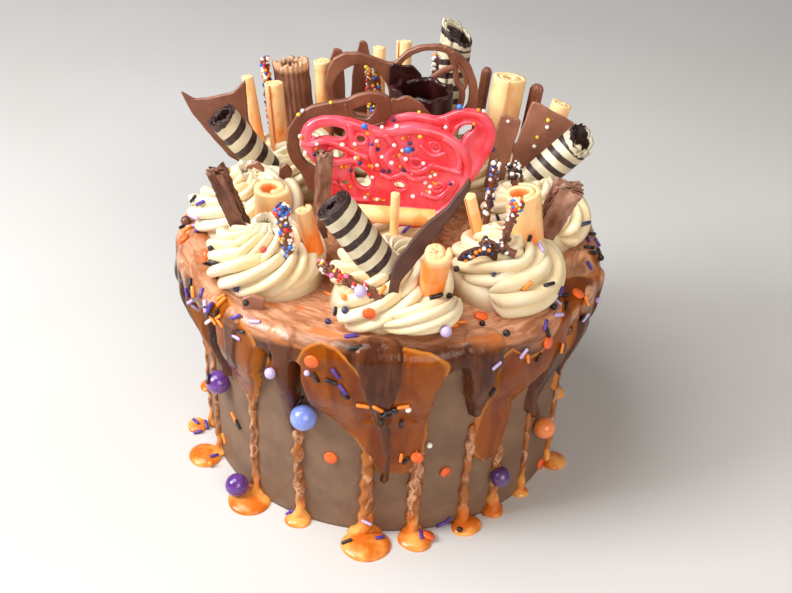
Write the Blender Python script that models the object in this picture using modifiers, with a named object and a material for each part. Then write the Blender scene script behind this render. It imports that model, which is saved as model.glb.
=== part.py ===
"""A round drip cake: one tall iced cake with chocolate and caramel run down its wall,
nine piped rosettes on top, and a crown of wafer rolls, curls, sticks, chocolate
plates and loops pushed into the cream."""

from math import cos, pi, radians, sin
import random

import bmesh
import bpy
from mathutils import Matrix, Vector
from mathutils.bvhtree import BVHTree

MM = 0.001
GAP = 0.3 * MM             # clearance between pieces that touch
SWELL = 0.55 * MM          # how far a pocket in the cream stands off its piece

# The cake
WALL = 92 * MM             # radius of the iced wall
HEIGHT = 113 * MM          # from the base to the flat top
RIM_OUT = 9 * MM           # how far the poured chocolate stands out round the rim
RIM_DEEP = 15 * MM         # how far down the wall that rim reaches

# Sugar on the wall
STRAND = 2.2 * MM          # thickness of a sugar strand
STRAND_LONG = 6.5 * MM
DISC = 5.5 * MM            # width of a flat sugar disc
DISC_THICK = 2.4 * MM      # half of it is sunk

# The piped rosettes
RING = 63 * MM             # from the cake's axis to the front rosette's centre
RING_BACK = 66.5 * MM      # the same for the side and back ones, which lean out a little
ROSETTE = 30.5 * MM          # radius of a rosette
CREAM_TALL = 28 * MM       # height of a rosette
RIDGES = 8                 # ridges that the star nozzle leaves
SECTORS = (243.5, 296.5, 340, 384, 428, 472, 516, 560)   # degrees where two rosettes meet

for old in list(bpy.data.objects):
    bpy.data.objects.remove(old)


# Helpers

def collection(name):
    """A new collection in the scene."""
    made = bpy.data.collections.new(name)
    bpy.context.scene.collection.children.link(made)
    return made


cake_parts = collection("drip_cake")
fused = collection("fused_into_cake")
tools = collection("cutters")


def material(name, colour, roughness=0.5, metallic=0.0):
    """A plain Principled material."""
    made = bpy.data.materials.new(name)
    made.use_nodes = True
    shader = made.node_tree.nodes["Principled BSDF"]
    shader.inputs["Base Color"].default_value = (*colour, 1)
    shader.inputs["Roughness"].default_value = roughness
    shader.inputs["Metallic"].default_value = metallic
    return made


ICING = material("chocolate_icing", (0.30, 0.17, 0.12), 0.45)
CREAM = material("vanilla_cream", (0.95, 0.86, 0.66), 0.5)
WAFER = material("striped_wafer", (0.55, 0.50, 0.40), 0.4)
CARAMEL = material("caramel_curl", (0.95, 0.62, 0.35), 0.45)
CHOCOLATE = material("milk_chocolate", (0.20, 0.09, 0.05), 0.4)
DARK = material("dark_chocolate", (0.07, 0.02, 0.02), 0.35)
PINK = material("pink_candy", (0.85, 0.07, 0.12), 0.3)
BEADED = material("beaded_stick", (0.65, 0.45, 0.40), 0.5)
PURPLE = material("purple_pearl", (0.12, 0.03, 0.20), 0.25)
BLUE = material("blue_pearl", (0.18, 0.25, 0.75), 0.25)
ORANGE = material("orange_pearl", (0.85, 0.20, 0.04), 0.3)


def add(name, mesh, look, home=cake_parts):
    """An object that holds this mesh, smooth where it is round."""
    mesh.materials.clear()
    mesh.materials.append(look)
    mesh.shade_smooth()
    mesh.set_sharp_from_angle(angle=radians(35))
    made = bpy.data.objects.new(name, mesh)
    home.objects.link(made)
    return made


def evaluated(source):
    """The mesh that an object's modifiers make, caps welded, in world space. The object is removed."""
    bpy.context.view_layer.update()
    graph = bpy.context.evaluated_depsgraph_get()
    mesh = bpy.data.meshes.new_from_object(source.evaluated_get(graph))
    mesh.transform(source.matrix_world)
    bm = bmesh.new()
    bm.from_mesh(mesh)
    bmesh.ops.remove_doubles(bm, verts=bm.verts, dist=1e-6)
    bmesh.ops.recalc_face_normals(bm, faces=bm.faces)
    bm.to_mesh(mesh)
    bm.free()
    bpy.data.objects.remove(source)
    return mesh


def turned(profile, steps):
    """A solid of revolution. The profile runs from the top of the axis down its outer side."""
    line = bpy.data.meshes.new("profile")
    line.from_pydata([(r, 0, z) for r, z in profile], [(i, i + 1) for i in range(len(profile) - 1)], [])
    source = bpy.data.objects.new("profile", line)
    bpy.context.scene.collection.objects.link(source)
    screw = source.modifiers.new("Screw", "SCREW")
    screw.steps = screw.render_steps = steps
    screw.use_merge_vertices = True
    screw.merge_threshold = 1e-5
    return evaluated(source)


def reshape(mesh, rule):
    """Move every point of a mesh by a rule."""
    for point in mesh.vertices:
        point.co = rule(point.co)
    return mesh


def at(angle, radius, z):
    """A point at this angle in degrees round the cake's axis."""
    return Vector((radius * cos(radians(angle)), radius * sin(radians(angle)), z))


def aim(mesh, foot, tip):
    """Stand a mesh that was made along +Z from the origin on foot, pointing at tip. Millimetres."""
    foot, tip = Vector(foot) * MM, Vector(tip) * MM
    turn = (tip - foot).to_track_quat("Z", "Y").to_matrix().to_4x4()
    mesh.transform(Matrix.Translation(foot) @ turn)
    return mesh


def length(foot, tip):
    """The distance between two points given in millimetres, in metres."""
    return (Vector(tip) - Vector(foot)).length * MM


def curve_object(flat):
    """An empty curve object, either a flat filled outline or a round tube."""
    data = bpy.data.curves.new("curve", "CURVE")
    data.dimensions = "2D" if flat else "3D"
    data.fill_mode = "BOTH" if flat else "FULL"
    data.use_fill_caps = not flat
    source = bpy.data.objects.new("curve", data)
    bpy.context.scene.collection.objects.link(source)
    return source


def run_tube(points):
    """A tube of changing thickness through (point, radius) pairs."""
    source = curve_object(flat=False)
    source.data.bevel_depth = 1
    source.data.bevel_resolution = 1
    line = source.data.splines.new("POLY")
    line.points.add(len(points) - 1)
    for knot, (place, radius) in zip(line.points, points):
        knot.co = (*place, 1)
        knot.radius = radius
    return evaluated(source)


def plate_mesh(outlines, thick, y, lean=0, foot_z=125):
    """A flat plate facing the front, from (x, z) outlines in millimetres; the outlines inside the
    first one are holes. Above foot_z it leans back by this many degrees."""
    source = curve_object(flat=True)
    source.data.extrude = thick / 2 * MM
    for outline in outlines:
        line = source.data.splines.new("POLY")
        line.points.add(len(outline) - 1)
        line.use_cyclic_u = True
        for knot, (x, z) in zip(line.points, outline):
            knot.co = (x * MM, (z - foot_z) * MM, 0, 1)
    mesh = evaluated(source)
    upright = Matrix.Rotation(radians(90 - lean), 4, "X")
    mesh.transform(Matrix.Translation((0, y * MM, foot_z * MM)) @ upright)
    return mesh


def oval(x, z, wide, tall, turn=0, points=10):
    """Points round an oval outline, in millimetres."""
    made = []
    for step in range(points):
        a, tilt = 2 * pi * step / points, radians(turn)
        u, v = wide / 2 * cos(a), tall / 2 * sin(a)
        made.append((x + u * cos(tilt) - v * sin(tilt), z + u * sin(tilt) + v * cos(tilt)))
    return made


# Pieces pushed into the cream

pushed_in = []


def push(name, mesh, look):
    """Add a decoration, and remember it for the pockets in the cream."""
    made = add(name, mesh, look)
    pushed_in.append(made)
    return made


def roll(name, foot, tip, diameter, wall, hollow, look, steps=12):
    """A rolled tube, open at its tip and down to a depth, solid where it stands in the cream."""
    r, tall, inner = diameter / 2 * MM, length(foot, tip), (diameter / 2 - wall) * MM
    floor = tall - hollow * MM
    profile = [(0, floor), (inner, floor), (inner, tall), (r, tall), (r, 0), (0, 0)]
    return push(name, aim(turned(profile, steps), foot, tip), look)


def bar(name, foot, tip, diameter, sides=10):
    """A thin caramel roll, wound too tight to leave a hollow."""
    r, tall = diameter / 2 * MM, length(foot, tip)
    profile = [(0, tall), (r, tall), (r, 0), (0, 0)]
    return push(name, aim(turned(profile, sides), foot, tip), CARAMEL)


def stick(name, foot, tip, diameter, look, sides=7):
    """A straight stick with a rounded tip."""
    r, tall = diameter / 2 * MM, length(foot, tip)
    profile = [(0, tall), (0.7 * r, tall - 0.3 * r), (r, tall - 1.1 * r), (r, 0), (0, 0)]
    return push(name, aim(turned(profile, sides), foot, tip), look)


def flake(name, foot, tip, diameter):
    """A crumbly chocolate bar of folded layers, so its section is a rough star."""
    r, tall = diameter / 2 * MM, length(foot, tip)
    profile = [(0, tall), (0.8 * r, tall), (r, 0.6 * tall), (0.9 * r, 0.3 * tall), (0.7 * r, 0), (0, 0)]

    def rough(point):
        fold = 1 + 0.16 * sin(3 * Vector((point.x, point.y)).angle_signed(Vector((1, 0)), 0) + 900 * point.z)
        return Vector((point.x * fold, point.y * fold * 0.75, point.z))

    return push(name, aim(reshape(turned(profile, 9), rough), foot, tip), CHOCOLATE)


def fluted(name, foot, tip, diameter, wall, hollow, look, flutes=8):
    """A cup with a fluted side that widens to its mouth."""
    r, tall, inner = diameter / 2 * MM, length(foot, tip), (diameter / 2 - wall) * MM
    floor = tall - hollow * MM
    profile = [(0, floor), (0.8 * inner, floor), (inner, tall), (r, tall), (0.75 * r, 0), (0, 0)]

    def flute(point):
        turn = Vector((point.x, point.y)).angle_signed(Vector((1, 0)), 0)
        wave = 1 + 0.05 * cos(flutes * turn)
        return Vector((point.x * wave, point.y * wave, point.z))

    return push(name, aim(reshape(turned(profile, 2 * flutes), flute), foot, tip), look)


def wafer_rolls():
    """The four striped wafer rolls."""
    roll("wafer_roll_left", (-60, 26, 126), (-83, 20, 160), 16.5, 2.5, 14, WAFER)
    roll("wafer_roll_front", (1, -72, 130), (-24, -72, 165), 17, 2.5, 14, WAFER)
    roll("wafer_roll_right", (60, 11, 128), (89, 12, 159), 16.5, 2.5, 14, WAFER)
    roll("wafer_roll_back", (26, 71, 126), (31, 83, 183), 18, 2.5, 14, WAFER)


def caramel_rolls():
    """The curls and thin rolls of caramel chocolate."""
    bar("curl_left_thin", (-68, 53, 118), (-75, 56, 166), 7)
    bar("curl_left_tall", (-57, 43, 128), (-60, 46, 167), 10.5)
    bar("curl_back_left", (-36, 60, 126), (-38, 62, 173), 10.5)
    bar("curl_back_1", (-8, 68, 128), (-9, 77, 176), 8)
    bar("curl_back_2", (4, 67, 128), (4, 78, 179), 9)
    roll("curl_back_right", (52, 45, 126), (57, 50, 173), 19, 3, 14, CARAMEL, 12)
    roll("curl_far_right", (70, 38, 122), (82, 43, 163), 12.5, 2.5, 10, CARAMEL, 10)
    roll("curl_left_wide", (-54, -26, 128), (-54, -27, 148), 19, 3, 10, CARAMEL, 12)
    bar("curl_left_short", (-33, -51, 129), (-38, -52, 151), 9.5)
    roll("curl_front", (16.8, -74, 123.5), (19, -88.3, 154.2), 13.5, 2.5, 10, CARAMEL, 10)
    bar("curl_front_thin", (2, -42, 130), (2, -42, 155), 5.5)
    roll("curl_right", (61, -42, 128), (56, -42, 158), 18, 3, 12, CARAMEL, 12)
    bar("curl_right_thin", (41, -39, 129), (34, -40, 154), 6.6)
    bar("curl_flat", (20, -33, 138), (-17, -32, 139), 9)


def chocolate_pieces():
    """Flaked bars, thin ridged sticks and the two fluted cups."""
    flake("flake_left", (-64, -40, 128), (-76, -40, 162), 9)
    flake("flake_middle", (-32.5, -28, 124), (-30, -27.5, 165), 7)
    flake("flake_right", (67, -31, 126), (78, -33, 157), 10)
    stick("ridged_stick_back", (42, 60, 128), (46, 64, 172), 5, CHOCOLATE)
    stick("ridged_stick_right", (66, 50, 124), (71, 54, 168), 6.5, CHOCOLATE)
    fluted("cup_left", (-49, 60, 124), (-54, 67, 170), 18, 2.5, 14, CHOCOLATE)
    fluted("cup_back", (13, 34, 126), (13, 33, 172), 30, 2.5, 24, DARK, 7)


def beaded_sticks():
    """Thin sticks coated in tiny sugar beads."""
    stick("beaded_stick_left", (-62, 60, 124), (-67, 64, 173), 5, BEADED)
    stick("beaded_stick_front_left", (-43, -58, 128), (-46, -58, 153), 6.5, BEADED)
    stick("beaded_stick_front", (-2, -87, 130), (-30, -76, 139), 5, BEADED)
    stick("beaded_stick_back_1", (-9, 59.5, 130), (-12, 60, 172), 8, BEADED)
    stick("beaded_stick_back_2", (17, 58, 130), (20, 60, 179), 4.5, BEADED)
    stick("beaded_stick_right_1", (47, -55, 131), (53, -54, 158), 5, BEADED)
    stick("beaded_stick_right_2", (54, -61, 138), (39, -57, 142), 5, BEADED)
    stick("beaded_stick_right_3", (44, -22, 130), (46, -22, 162), 4.5, BEADED)
    stick("beaded_stick_right_4", (62, -6, 134), (56, 2, 150), 7, BEADED)


def plates():
    """Broken plates of thin chocolate. Points go round each outline."""
    push("plate_left", plate_mesh([[(-105, 165), (-98, 161), (-89, 163), (-80, 165), (-73, 172), (-72, 150),
        (-66, 136), (-62, 121), (-70, 122), (-84, 132), (-94, 145), (-99, 152)]], 2, 36.5), CHOCOLATE)
    push("plate_front", plate_mesh([[(-0.5, 122), (3.5, 122), (4.6, 135.9), (8.7, 141.5), (14.1, 149.2),
        (20.2, 158.3), (26.3, 166.5), (31.8, 176.8), (31.2, 180.4), (22.8, 168.4), (15, 161.9), (6.7, 150.9),
        (4.2, 148), (1.2, 141.2), (0, 133)]], 1.8, -84.5, 22.1, 133), CHOCOLATE)
    push("plate_right", plate_mesh([[(46, 126), (55, 124), (58, 146), (61, 162), (51, 165), (48, 150)]],
        2, 24), CHOCOLATE)
    push("plate_far_right", plate_mesh([[(58, 124), (66, 122), (75, 143), (88, 159), (66, 170), (60, 146)]],
        2, 29.5), CHOCOLATE)
    push("plate_middle", plate_mesh([[(-2, 130), (18, 130), (21, 161), (5, 171), (-2, 170)]], 2, 13.5), DARK)
    push("plate_back_1", plate_mesh([[(-34, 128), (-24, 128), (-26.5, 158), (-27, 173), (-28.4, 176),
        (-32.3, 176.8), (-33.8, 171), (-36, 160)]], 2, 71), CHOCOLATE)
    push("plate_back_2", plate_mesh([[(-24, 130), (-13.5, 130), (-13.6, 158), (-13.6, 172), (-16, 178.8),
        (-19.3, 179.2), (-20.8, 172), (-23, 160)]], 2, 76), CHOCOLATE)


def loops():
    """The piped chocolate loops and the pink lace."""
    back = [(-8, 126), (12, 126), (20, 134), (38, 146), (46, 160), (40, 176), (26, 186), (12, 184), (1, 175),
            (-10, 182), (-22, 182), (-33, 175), (-37, 160), (-32, 146), (-18, 136)]
    left_hole, right_hole = oval(-17, 162, 26, 29, 20), oval(22, 164, 30, 34, -20)
    push("loop_back", plate_mesh([back, left_hole, right_hole], 3, 53), CHOCOLATE)
    front = [(-40, 130), (-24, 130), (-18, 145), (-13, 158), (-1, 166), (-1, 179), (-9, 184), (-18, 183), (-24, 177),
             (-38, 174), (-47, 166), (-49, 154), (-44, 142)]
    side_hole, top_hole = oval(-34, 157, 18, 24), oval(-12, 174, 13, 11)
    push("loop_front", plate_mesh([front, side_hole, top_hole], 3, 5), CHOCOLATE)
    lace = [(-28, 128), (14, 127), (29, 137), (37, 150), (39, 164), (32, 174), (18, 179), (2, 178), (-6, 175),
            (-16, 180), (-31, 181), (-41, 173), (-41, 162), (-33, 148)]
    lace_holes = [oval(-31, 167, 10, 9), oval(-20, 157, 9, 7), oval(24, 160, 8, 11), oval(-4, 160, 8, 6)]
    push("lace_front", plate_mesh([lace] + lace_holes, 4, -21.5), PINK)
    wing = [(6, 130), (34, 130), (42, 142), (49, 158), (44, 170), (32, 175), (22, 169), (10, 173), (2, 166), (4, 150)]
    push("lace_back", plate_mesh([wing, oval(31, 156, 16, 18)], 4, 7), PINK)


# The cake itself

def core():
    """The iced cake: straight wall, flat base and top, and the poured rim that overhangs the wall."""
    edge, under = WALL + RIM_OUT, HEIGHT - RIM_DEEP
    profile = [(0, HEIGHT), (WALL - 4 * MM, HEIGHT), (edge - 2 * MM, HEIGHT - 2 * MM), (edge, HEIGHT - 6 * MM),
               (WALL + 3 * MM, under), (WALL, under - 6 * MM), (WALL, 0), (0, 0)]

    def uneven(point):
        out = Vector((point.x, point.y))
        if out.length < WALL + 1 * MM:
            return point
        turn = out.angle_signed(Vector((1, 0)))
        out = out.normalized() * (out.length + (0.9 * sin(7 * turn) + 0.6 * sin(16 * turn + 1)) * MM)
        return Vector((out.x, out.y, point.z))

    return reshape(turned(profile, 42), uneven)


def sheet(outline, thick):
    """A sheet of caramel on the wall. The outline is (degrees, z in millimetres), bent round the
    wall after it has been cut into columns."""
    bm = bmesh.new()
    bm.faces.new([bm.verts.new((angle, 0, z * MM)) for angle, z in outline])
    lowest, highest = int(min(outline)[0]), int(max(outline)[0])
    for angle in range(lowest - lowest % 6 + 6, highest, 6):
        geometry = bm.verts[:] + bm.edges[:] + bm.faces[:]
        bmesh.ops.bisect_plane(bm, geom=geometry, plane_co=(angle, 0, 0), plane_no=(1, 0, 0))
    mesh = bpy.data.meshes.new("sheet")
    for point in bm.verts:
        point.co = at(point.co.x, WALL - 1.5 * MM, point.co.z)
    bm.to_mesh(mesh)
    bm.free()
    source = bpy.data.objects.new("sheet", mesh)
    bpy.context.scene.collection.objects.link(source)
    shell = source.modifiers.new("Solidify", "SOLIDIFY")
    shell.thickness = (thick + 1.5) * MM
    shell.offset = 1
    return evaluated(source)


def drip(angle, tip, width, start=104, drift=0):
    """A run of chocolate down the wall that ends in a fat bead. Degrees and millimetres."""
    r = width / 2
    out = WALL + 0.2 * r * MM
    levels = [(start, 1.1 * r, 0), (tip + 3 * r, 0.75 * r, 0.6), (tip + r, r, 1), (tip, 0.55 * r, 1)]
    return run_tube([(at(angle + drift * share, out, z * MM), radius * MM) for z, radius, share in levels])


def strand(angle, start, width, puddle=0, out=0):
    """A thin run that reaches the base, and the puddle that it spreads into, out from the wall."""
    r = width / 2
    points = [(at(angle, WALL, start * MM), 0.7 * r * MM), (at(angle, WALL + 0.3 * r * MM, 20 * MM), 0.8 * r * MM),
              (at(angle, WALL + 0.6 * r * MM, 3.5 * MM), 0.9 * r * MM), (at(angle, WALL + out * MM, 2.4 * MM), 1.9 * MM)]
    made = [run_tube(points)]
    if puddle:
        bm = bmesh.new()
        bmesh.ops.create_uvsphere(bm, u_segments=8, v_segments=4, radius=1)
        size = Matrix.Diagonal((puddle / 2 * 1.1 * MM, puddle / 2 * MM, 2.3 * MM, 1))
        middle = Matrix.Translation(at(angle, WALL + out * MM, 2.4 * MM))
        bmesh.ops.transform(bm, matrix=middle @ Matrix.Rotation(radians(angle), 4, "Z") @ size, verts=bm.verts)
        mesh = bpy.data.meshes.new("puddle")
        bm.to_mesh(mesh)
        bm.free()
        made.append(mesh)
    return made


def sprinkle(surface, angle, z, turn=None):
    """A sugar strand lying on the wall at this turn, or a flat sugar disc where no turn is given.
    It sits where a line from outside meets the surface, half sunk in it."""
    inward = -at(angle, 1, 0)
    place, normal, _, _ = surface.ray_cast(at(angle, 2 * WALL, z * MM), inward)
    bm = bmesh.new()
    if turn is None:
        bmesh.ops.create_cone(bm, cap_ends=True, segments=6, radius1=DISC / 2, radius2=DISC / 2, depth=DISC_THICK)
        lie = Matrix.Identity(4)
    else:
        bmesh.ops.create_cone(bm, cap_ends=True, segments=5, radius1=STRAND / 2, radius2=STRAND / 2,
                              depth=STRAND_LONG)
        lie = Matrix.Rotation(radians(turn), 4, "Z") @ Matrix.Rotation(radians(90), 4, "X")
    facing = normal.to_track_quat("Z", "Y").to_matrix().to_4x4()
    bmesh.ops.transform(bm, matrix=Matrix.Translation(place) @ facing @ lie, verts=bm.verts)
    mesh = bpy.data.meshes.new("sprinkle")
    bm.to_mesh(mesh)
    bm.free()
    return mesh


def runs():
    """Everything that has run down the wall. Angles: 270 is the front, 0 the right side."""
    made = [
        sheet([(247, 104), (250, 76), (256, 68), (262, 58), (268, 42), (274, 41), (281, 42), (283.5, 60),
               (284, 104)], 1.6),
        sheet([(301, 104), (300, 84), (297, 56), (302, 46), (305, 34), (309, 50), (315, 78), (323, 84),
               (324, 104)], 1.6),
        sheet([(228, 104), (228, 66), (232, 58), (235, 70), (238, 104)], 1.4),
        sheet([(128, 104), (131, 66), (138, 50), (144, 72), (150, 104)], 1.4),
        sheet([(60, 104), (64, 72), (72, 58), (82, 62), (88, 104)], 1.4),
    ]
    for angle, tip, width, drift in ((202, 58, 7, 0), (213, 78, 7, 0), (225, 77, 8, 0), (242, 55, 8, 2), (257, 88, 7, 0),
                                     (267, 66, 10, 3), (291, 88, 8, 0), (296, 66, 9, 2), (325, 42, 8, -1),
                                     (337, 82, 7, 0), (350, 58, 7, 0), (2, 70, 8, 0), (14, 48, 7, 1), (27, 78, 8, 0),
                                     (40, 60, 7, 0), (53, 82, 7, 0), (76, 44, 8, 0), (95, 74, 8, 0), (106, 56, 7, 1),
                                     (119, 84, 7, 0), (134, 38, 7, 0), (157, 76, 8, 0), (168, 52, 7, 0),
                                     (180, 72, 8, 0), (190, 84, 7, 0)):
        made.append(drip(angle, tip, width, drift=drift))
    for angle, start, width, puddle, out in ((192, 70, 3.5, 11, 8), (206, 66, 4, 15, 9), (229, 62, 3.5, 15, 5.5),
                                             (248, 74, 3.5, 9, 3), (266, 50, 5, 19, 9), (280, 48, 5, 13, 6),
                                             (295.5, 60, 4.5, 11, 3.5), (306, 42, 3.5, 8, 1.5),
                                             (318.5, 80, 3, 7, 0.8), (339, 88, 4, 11, 5), (12, 60, 4, 12, 5),
                                             (36, 88, 4, 13, 6), (74, 60, 4.5, 15, 7), (101, 70, 4, 10, 4),
                                             (137, 60, 4.5, 15, 7), (172, 60, 4, 11, 5)):
        made.extend(strand(angle, start, width, puddle, out))
    return made


def sprinkles(cake):
    """Sugar strands and flat discs: those in view in their places, the rest scattered round the back."""
    surface = BVHTree.FromPolygons([point.co for point in cake.data.vertices],
                                   [face.vertices for face in cake.data.polygons])
    made = []
    for angle, z, turn in ((211, 95, 40), (216, 95, -30), (209, 99, 70), (226, 94, 15), (258, 90, 80), (255, 92, -50),
                           (270, 80, 30), (275, 79, 5), (269, 69, -40), (264, 81, 60), (271, 75, 85), (282, 56, 20),
                           (247, 91, -20), (310, 95, 45), (311, 87, -35), (300, 80, 10), (327, 91, 60), (326, 86, -40),
                           (318, 102, 30), (305, 107, -20), (293, 67, 50), (304, 72, -60), (348, 105, 70),
                           (255, 104, 20)):
        made.append(sprinkle(surface, angle, z, turn))
    for angle, z in ((250, 97), (256, 46), (288, 39), (276, 50), (280, 50), (319, 93), (339, 100), (225, 102),
                     (301, 94), (300, 57)):
        made.append(sprinkle(surface, angle, z))
    scatter = random.Random(31)
    for angle in range(4, 196, 24):
        made.append(sprinkle(surface, angle + scatter.uniform(-3, 3), scatter.uniform(60, 97),
                             scatter.uniform(-90, 90)))
    return made


# Pearls: name, degrees, z, diameter, distance of the centre out from the wall, and colour
PEARLS = (("pearl_wall_purple", 214.5, 57, 11.5, 4, PURPLE), ("pearl_wall_blue", 248.5, 67, 12, 4.5, BLUE),
          ("pearl_low_purple", 226, 8, 11.5, 9, PURPLE), ("pearl_dark", 306, 25, 10, 4.5, PURPLE),
          ("pearl_orange", 323.5, 39, 10.6, 5, ORANGE))


def ball(diameter, segments=10):
    """A ball about the origin, in millimetres."""
    bm = bmesh.new()
    bmesh.ops.create_uvsphere(bm, u_segments=segments, v_segments=segments // 2 + 1, radius=diameter / 2 * MM)
    mesh = bpy.data.meshes.new("ball")
    bm.to_mesh(mesh)
    bm.free()
    return mesh


def boolean(target, operation, other=None, group=None):
    """Apply an exact Boolean with one object or a whole collection."""
    cut = target.modifiers.new("Boolean", "BOOLEAN")
    cut.operation = operation
    cut.solver = "EXACT"
    if group:
        cut.operand_type = "COLLECTION"
        cut.collection = group
    else:
        cut.object = other
    bpy.context.view_layer.update()
    graph = bpy.context.evaluated_depsgraph_get()
    mesh = bpy.data.meshes.new_from_object(target.evaluated_get(graph))
    target.modifiers.clear()
    old = target.data
    target.data = mesh
    bpy.data.meshes.remove(old)


def empty_collection(group):
    """Remove every object of a collection that has done its work."""
    for used in list(group.objects):
        bpy.data.objects.remove(used)


def cutter(mesh, home):
    """An object that only cuts."""
    made = bpy.data.objects.new("cutter", mesh)
    made.hide_render = True
    made.display_type = "WIRE"
    home.objects.link(made)
    return made


def fuse(target, meshes):
    """Join these meshes to an object as one body."""
    for mesh in meshes:
        fused.objects.link(bpy.data.objects.new("fused", mesh))
    boolean(target, "UNION", group=fused)
    empty_collection(fused)


def build_cake():
    """The core with its runs and sprinkles fused on, and a shallow seat for each pearl."""
    cake = add("cake", core(), ICING)
    fuse(cake, runs())
    fuse(cake, sprinkles(cake))
    for name, angle, z, diameter, out, look in PEARLS:
        place = Matrix.Translation(at(angle, WALL + out * MM, z * MM))
        pearl = add(name, ball(diameter), look)
        pearl.data.transform(place)
        seat = ball(diameter + 2 * SWELL / MM)
        seat.transform(place)
        cutter(seat, tools)
    boolean(cake, "DIFFERENCE", group=tools)
    empty_collection(tools)


def keep_largest(mesh):
    """Drop the loose scraps that a cut leaves, and keep the one main body."""
    bm = bmesh.new()
    bm.from_mesh(mesh)
    waiting, bodies = set(bm.verts), []
    while waiting:
        body = [waiting.pop()]
        for point in body:
            near = {edge.other_vert(point) for edge in point.link_edges} & waiting
            waiting -= near
            body.extend(near)
        bodies.append(body)
    bodies.sort(key=len)
    for scrap in bodies[:-1]:
        bmesh.ops.delete(bm, geom=scrap, context="VERTS")
    bm.to_mesh(mesh)
    bm.free()


def rosette(name, centre, radius, tall, start=None, end=None):
    """A piped swirl, its ridges twisted round it, cut flat where it meets its neighbours."""
    profile = [(0, 1.0), (0.30, 0.95), (0.55, 0.84), (0.70, 0.70), (0.92, 0.52), (1.0, 0.24), (0.94, 0), (0, 0)]

    def swirl(point):
        out, height = Vector((point.x, point.y)), point.z / tall
        if out.length < 1e-6:
            return point
        turn = out.angle_signed(Vector((-1, 0))) * -1
        ridge = 1 + 0.06 * cos(RIDGES * turn)
        twisted = Matrix.Rotation(1.6 * height, 2) @ (out * ridge)
        return Vector((twisted.x, twisted.y, point.z))

    mesh = turned([(r * radius, z * tall) for r, z in profile], 2 * RIDGES)
    reshape(mesh, swirl)
    mesh.transform(Matrix.Translation(centre))
    bm = bmesh.new()
    bm.from_mesh(mesh)
    for angle, side in ((start, -1), (end, 1)):
        if angle is None:
            continue
        across = Vector((-sin(radians(angle)), cos(radians(angle)), 0)) * side
        geometry = bm.verts[:] + bm.edges[:] + bm.faces[:]
        bmesh.ops.bisect_plane(bm, geom=geometry, plane_co=across * -GAP / 2, plane_no=across, clear_outer=True)
        bmesh.ops.holes_fill(bm, edges=[edge for edge in bm.edges if edge.is_boundary])
    bm.to_mesh(mesh)
    bm.free()
    return add(name, mesh, CREAM)


def build_cream():
    """Eight rosettes round one in the middle, each with a pocket for every piece pushed into it."""
    made = []
    for index, (start, end) in enumerate(zip(SECTORS, SECTORS[1:] + (SECTORS[0] + 360,))):
        middle = (start + end) / 2
        centre = at(middle, RING if middle == 270 else RING_BACK, HEIGHT + GAP)
        made.append(rosette(f"rosette_{index + 1}", centre, ROSETTE, CREAM_TALL, start, end))
    made.append(rosette("rosette_middle", Vector((0, 0, HEIGHT + GAP)), ROSETTE - 1.5 * MM, CREAM_TALL * 0.95))
    for cream in made:
        for piece in pushed_in:
            if min(point.co.z for point in piece.data.vertices) > HEIGHT + CREAM_TALL:
                continue
            swollen = cutter(piece.data.copy(), tools)
            grow = swollen.modifiers.new("Displace", "DISPLACE")
            grow.strength = SWELL
            grow.mid_level = 0
        boolean(cream, "DIFFERENCE", group=tools)
        keep_largest(cream.data)
        empty_collection(tools)


build_cake()
wafer_rolls()
caramel_rolls()
chocolate_pieces()
beaded_sticks()
plates()
loops()
build_cream()
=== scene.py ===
# %% [markdown]
# # A drip cake, piece by piece
# The cake is a tall round one in milk-chocolate icing. Caramel and chocolate run down its wall, nine
# swirls of cream sit on top, and a crown of rolls, curls, plates, loops and sprinkles stands in them.
# The frame below brings in the rigid model, so every surface made here has a place to go to.

# %% Load the frame
import math

import bmesh
import bpy
import numpy as np
from mathutils import Matrix, Vector
from mathutils.bvhtree import BVHTree


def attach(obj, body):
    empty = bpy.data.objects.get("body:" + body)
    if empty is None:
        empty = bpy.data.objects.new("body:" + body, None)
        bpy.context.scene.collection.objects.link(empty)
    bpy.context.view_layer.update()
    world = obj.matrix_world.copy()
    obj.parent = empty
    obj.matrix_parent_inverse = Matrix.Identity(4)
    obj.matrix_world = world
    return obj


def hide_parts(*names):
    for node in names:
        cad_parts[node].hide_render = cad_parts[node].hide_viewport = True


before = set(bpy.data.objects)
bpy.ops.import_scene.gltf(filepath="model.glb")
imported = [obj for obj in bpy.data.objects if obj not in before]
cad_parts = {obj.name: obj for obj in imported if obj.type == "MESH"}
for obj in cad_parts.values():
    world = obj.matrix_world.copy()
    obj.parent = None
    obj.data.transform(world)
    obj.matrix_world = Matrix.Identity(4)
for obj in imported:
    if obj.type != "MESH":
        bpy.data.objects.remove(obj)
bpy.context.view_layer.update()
MM = 0.001
MERGE = 0.002          # millimetres under which two points are one

# %% [markdown]
# ## The camera
# A photograph is matched best by working out where its camera stood. This one looks down at about
# 35 degrees from half a metre away, and is rolled two degrees. A small lens shift does the framing,
# so that the picture's vanishing point stays where it is in the photograph.

# %% Camera
TILT, ROLL, AWAY = math.radians(34.8), math.radians(2.15), 0.55
FRAME_WIDE, FRAME_HIGH, FOCUS, CENTRE = 792, 593, 1065, (387, 318)     # in pixels
AIM, FILM = 0.06, 36      # height that it looks at in metres, and width of its film in millimetres


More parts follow.
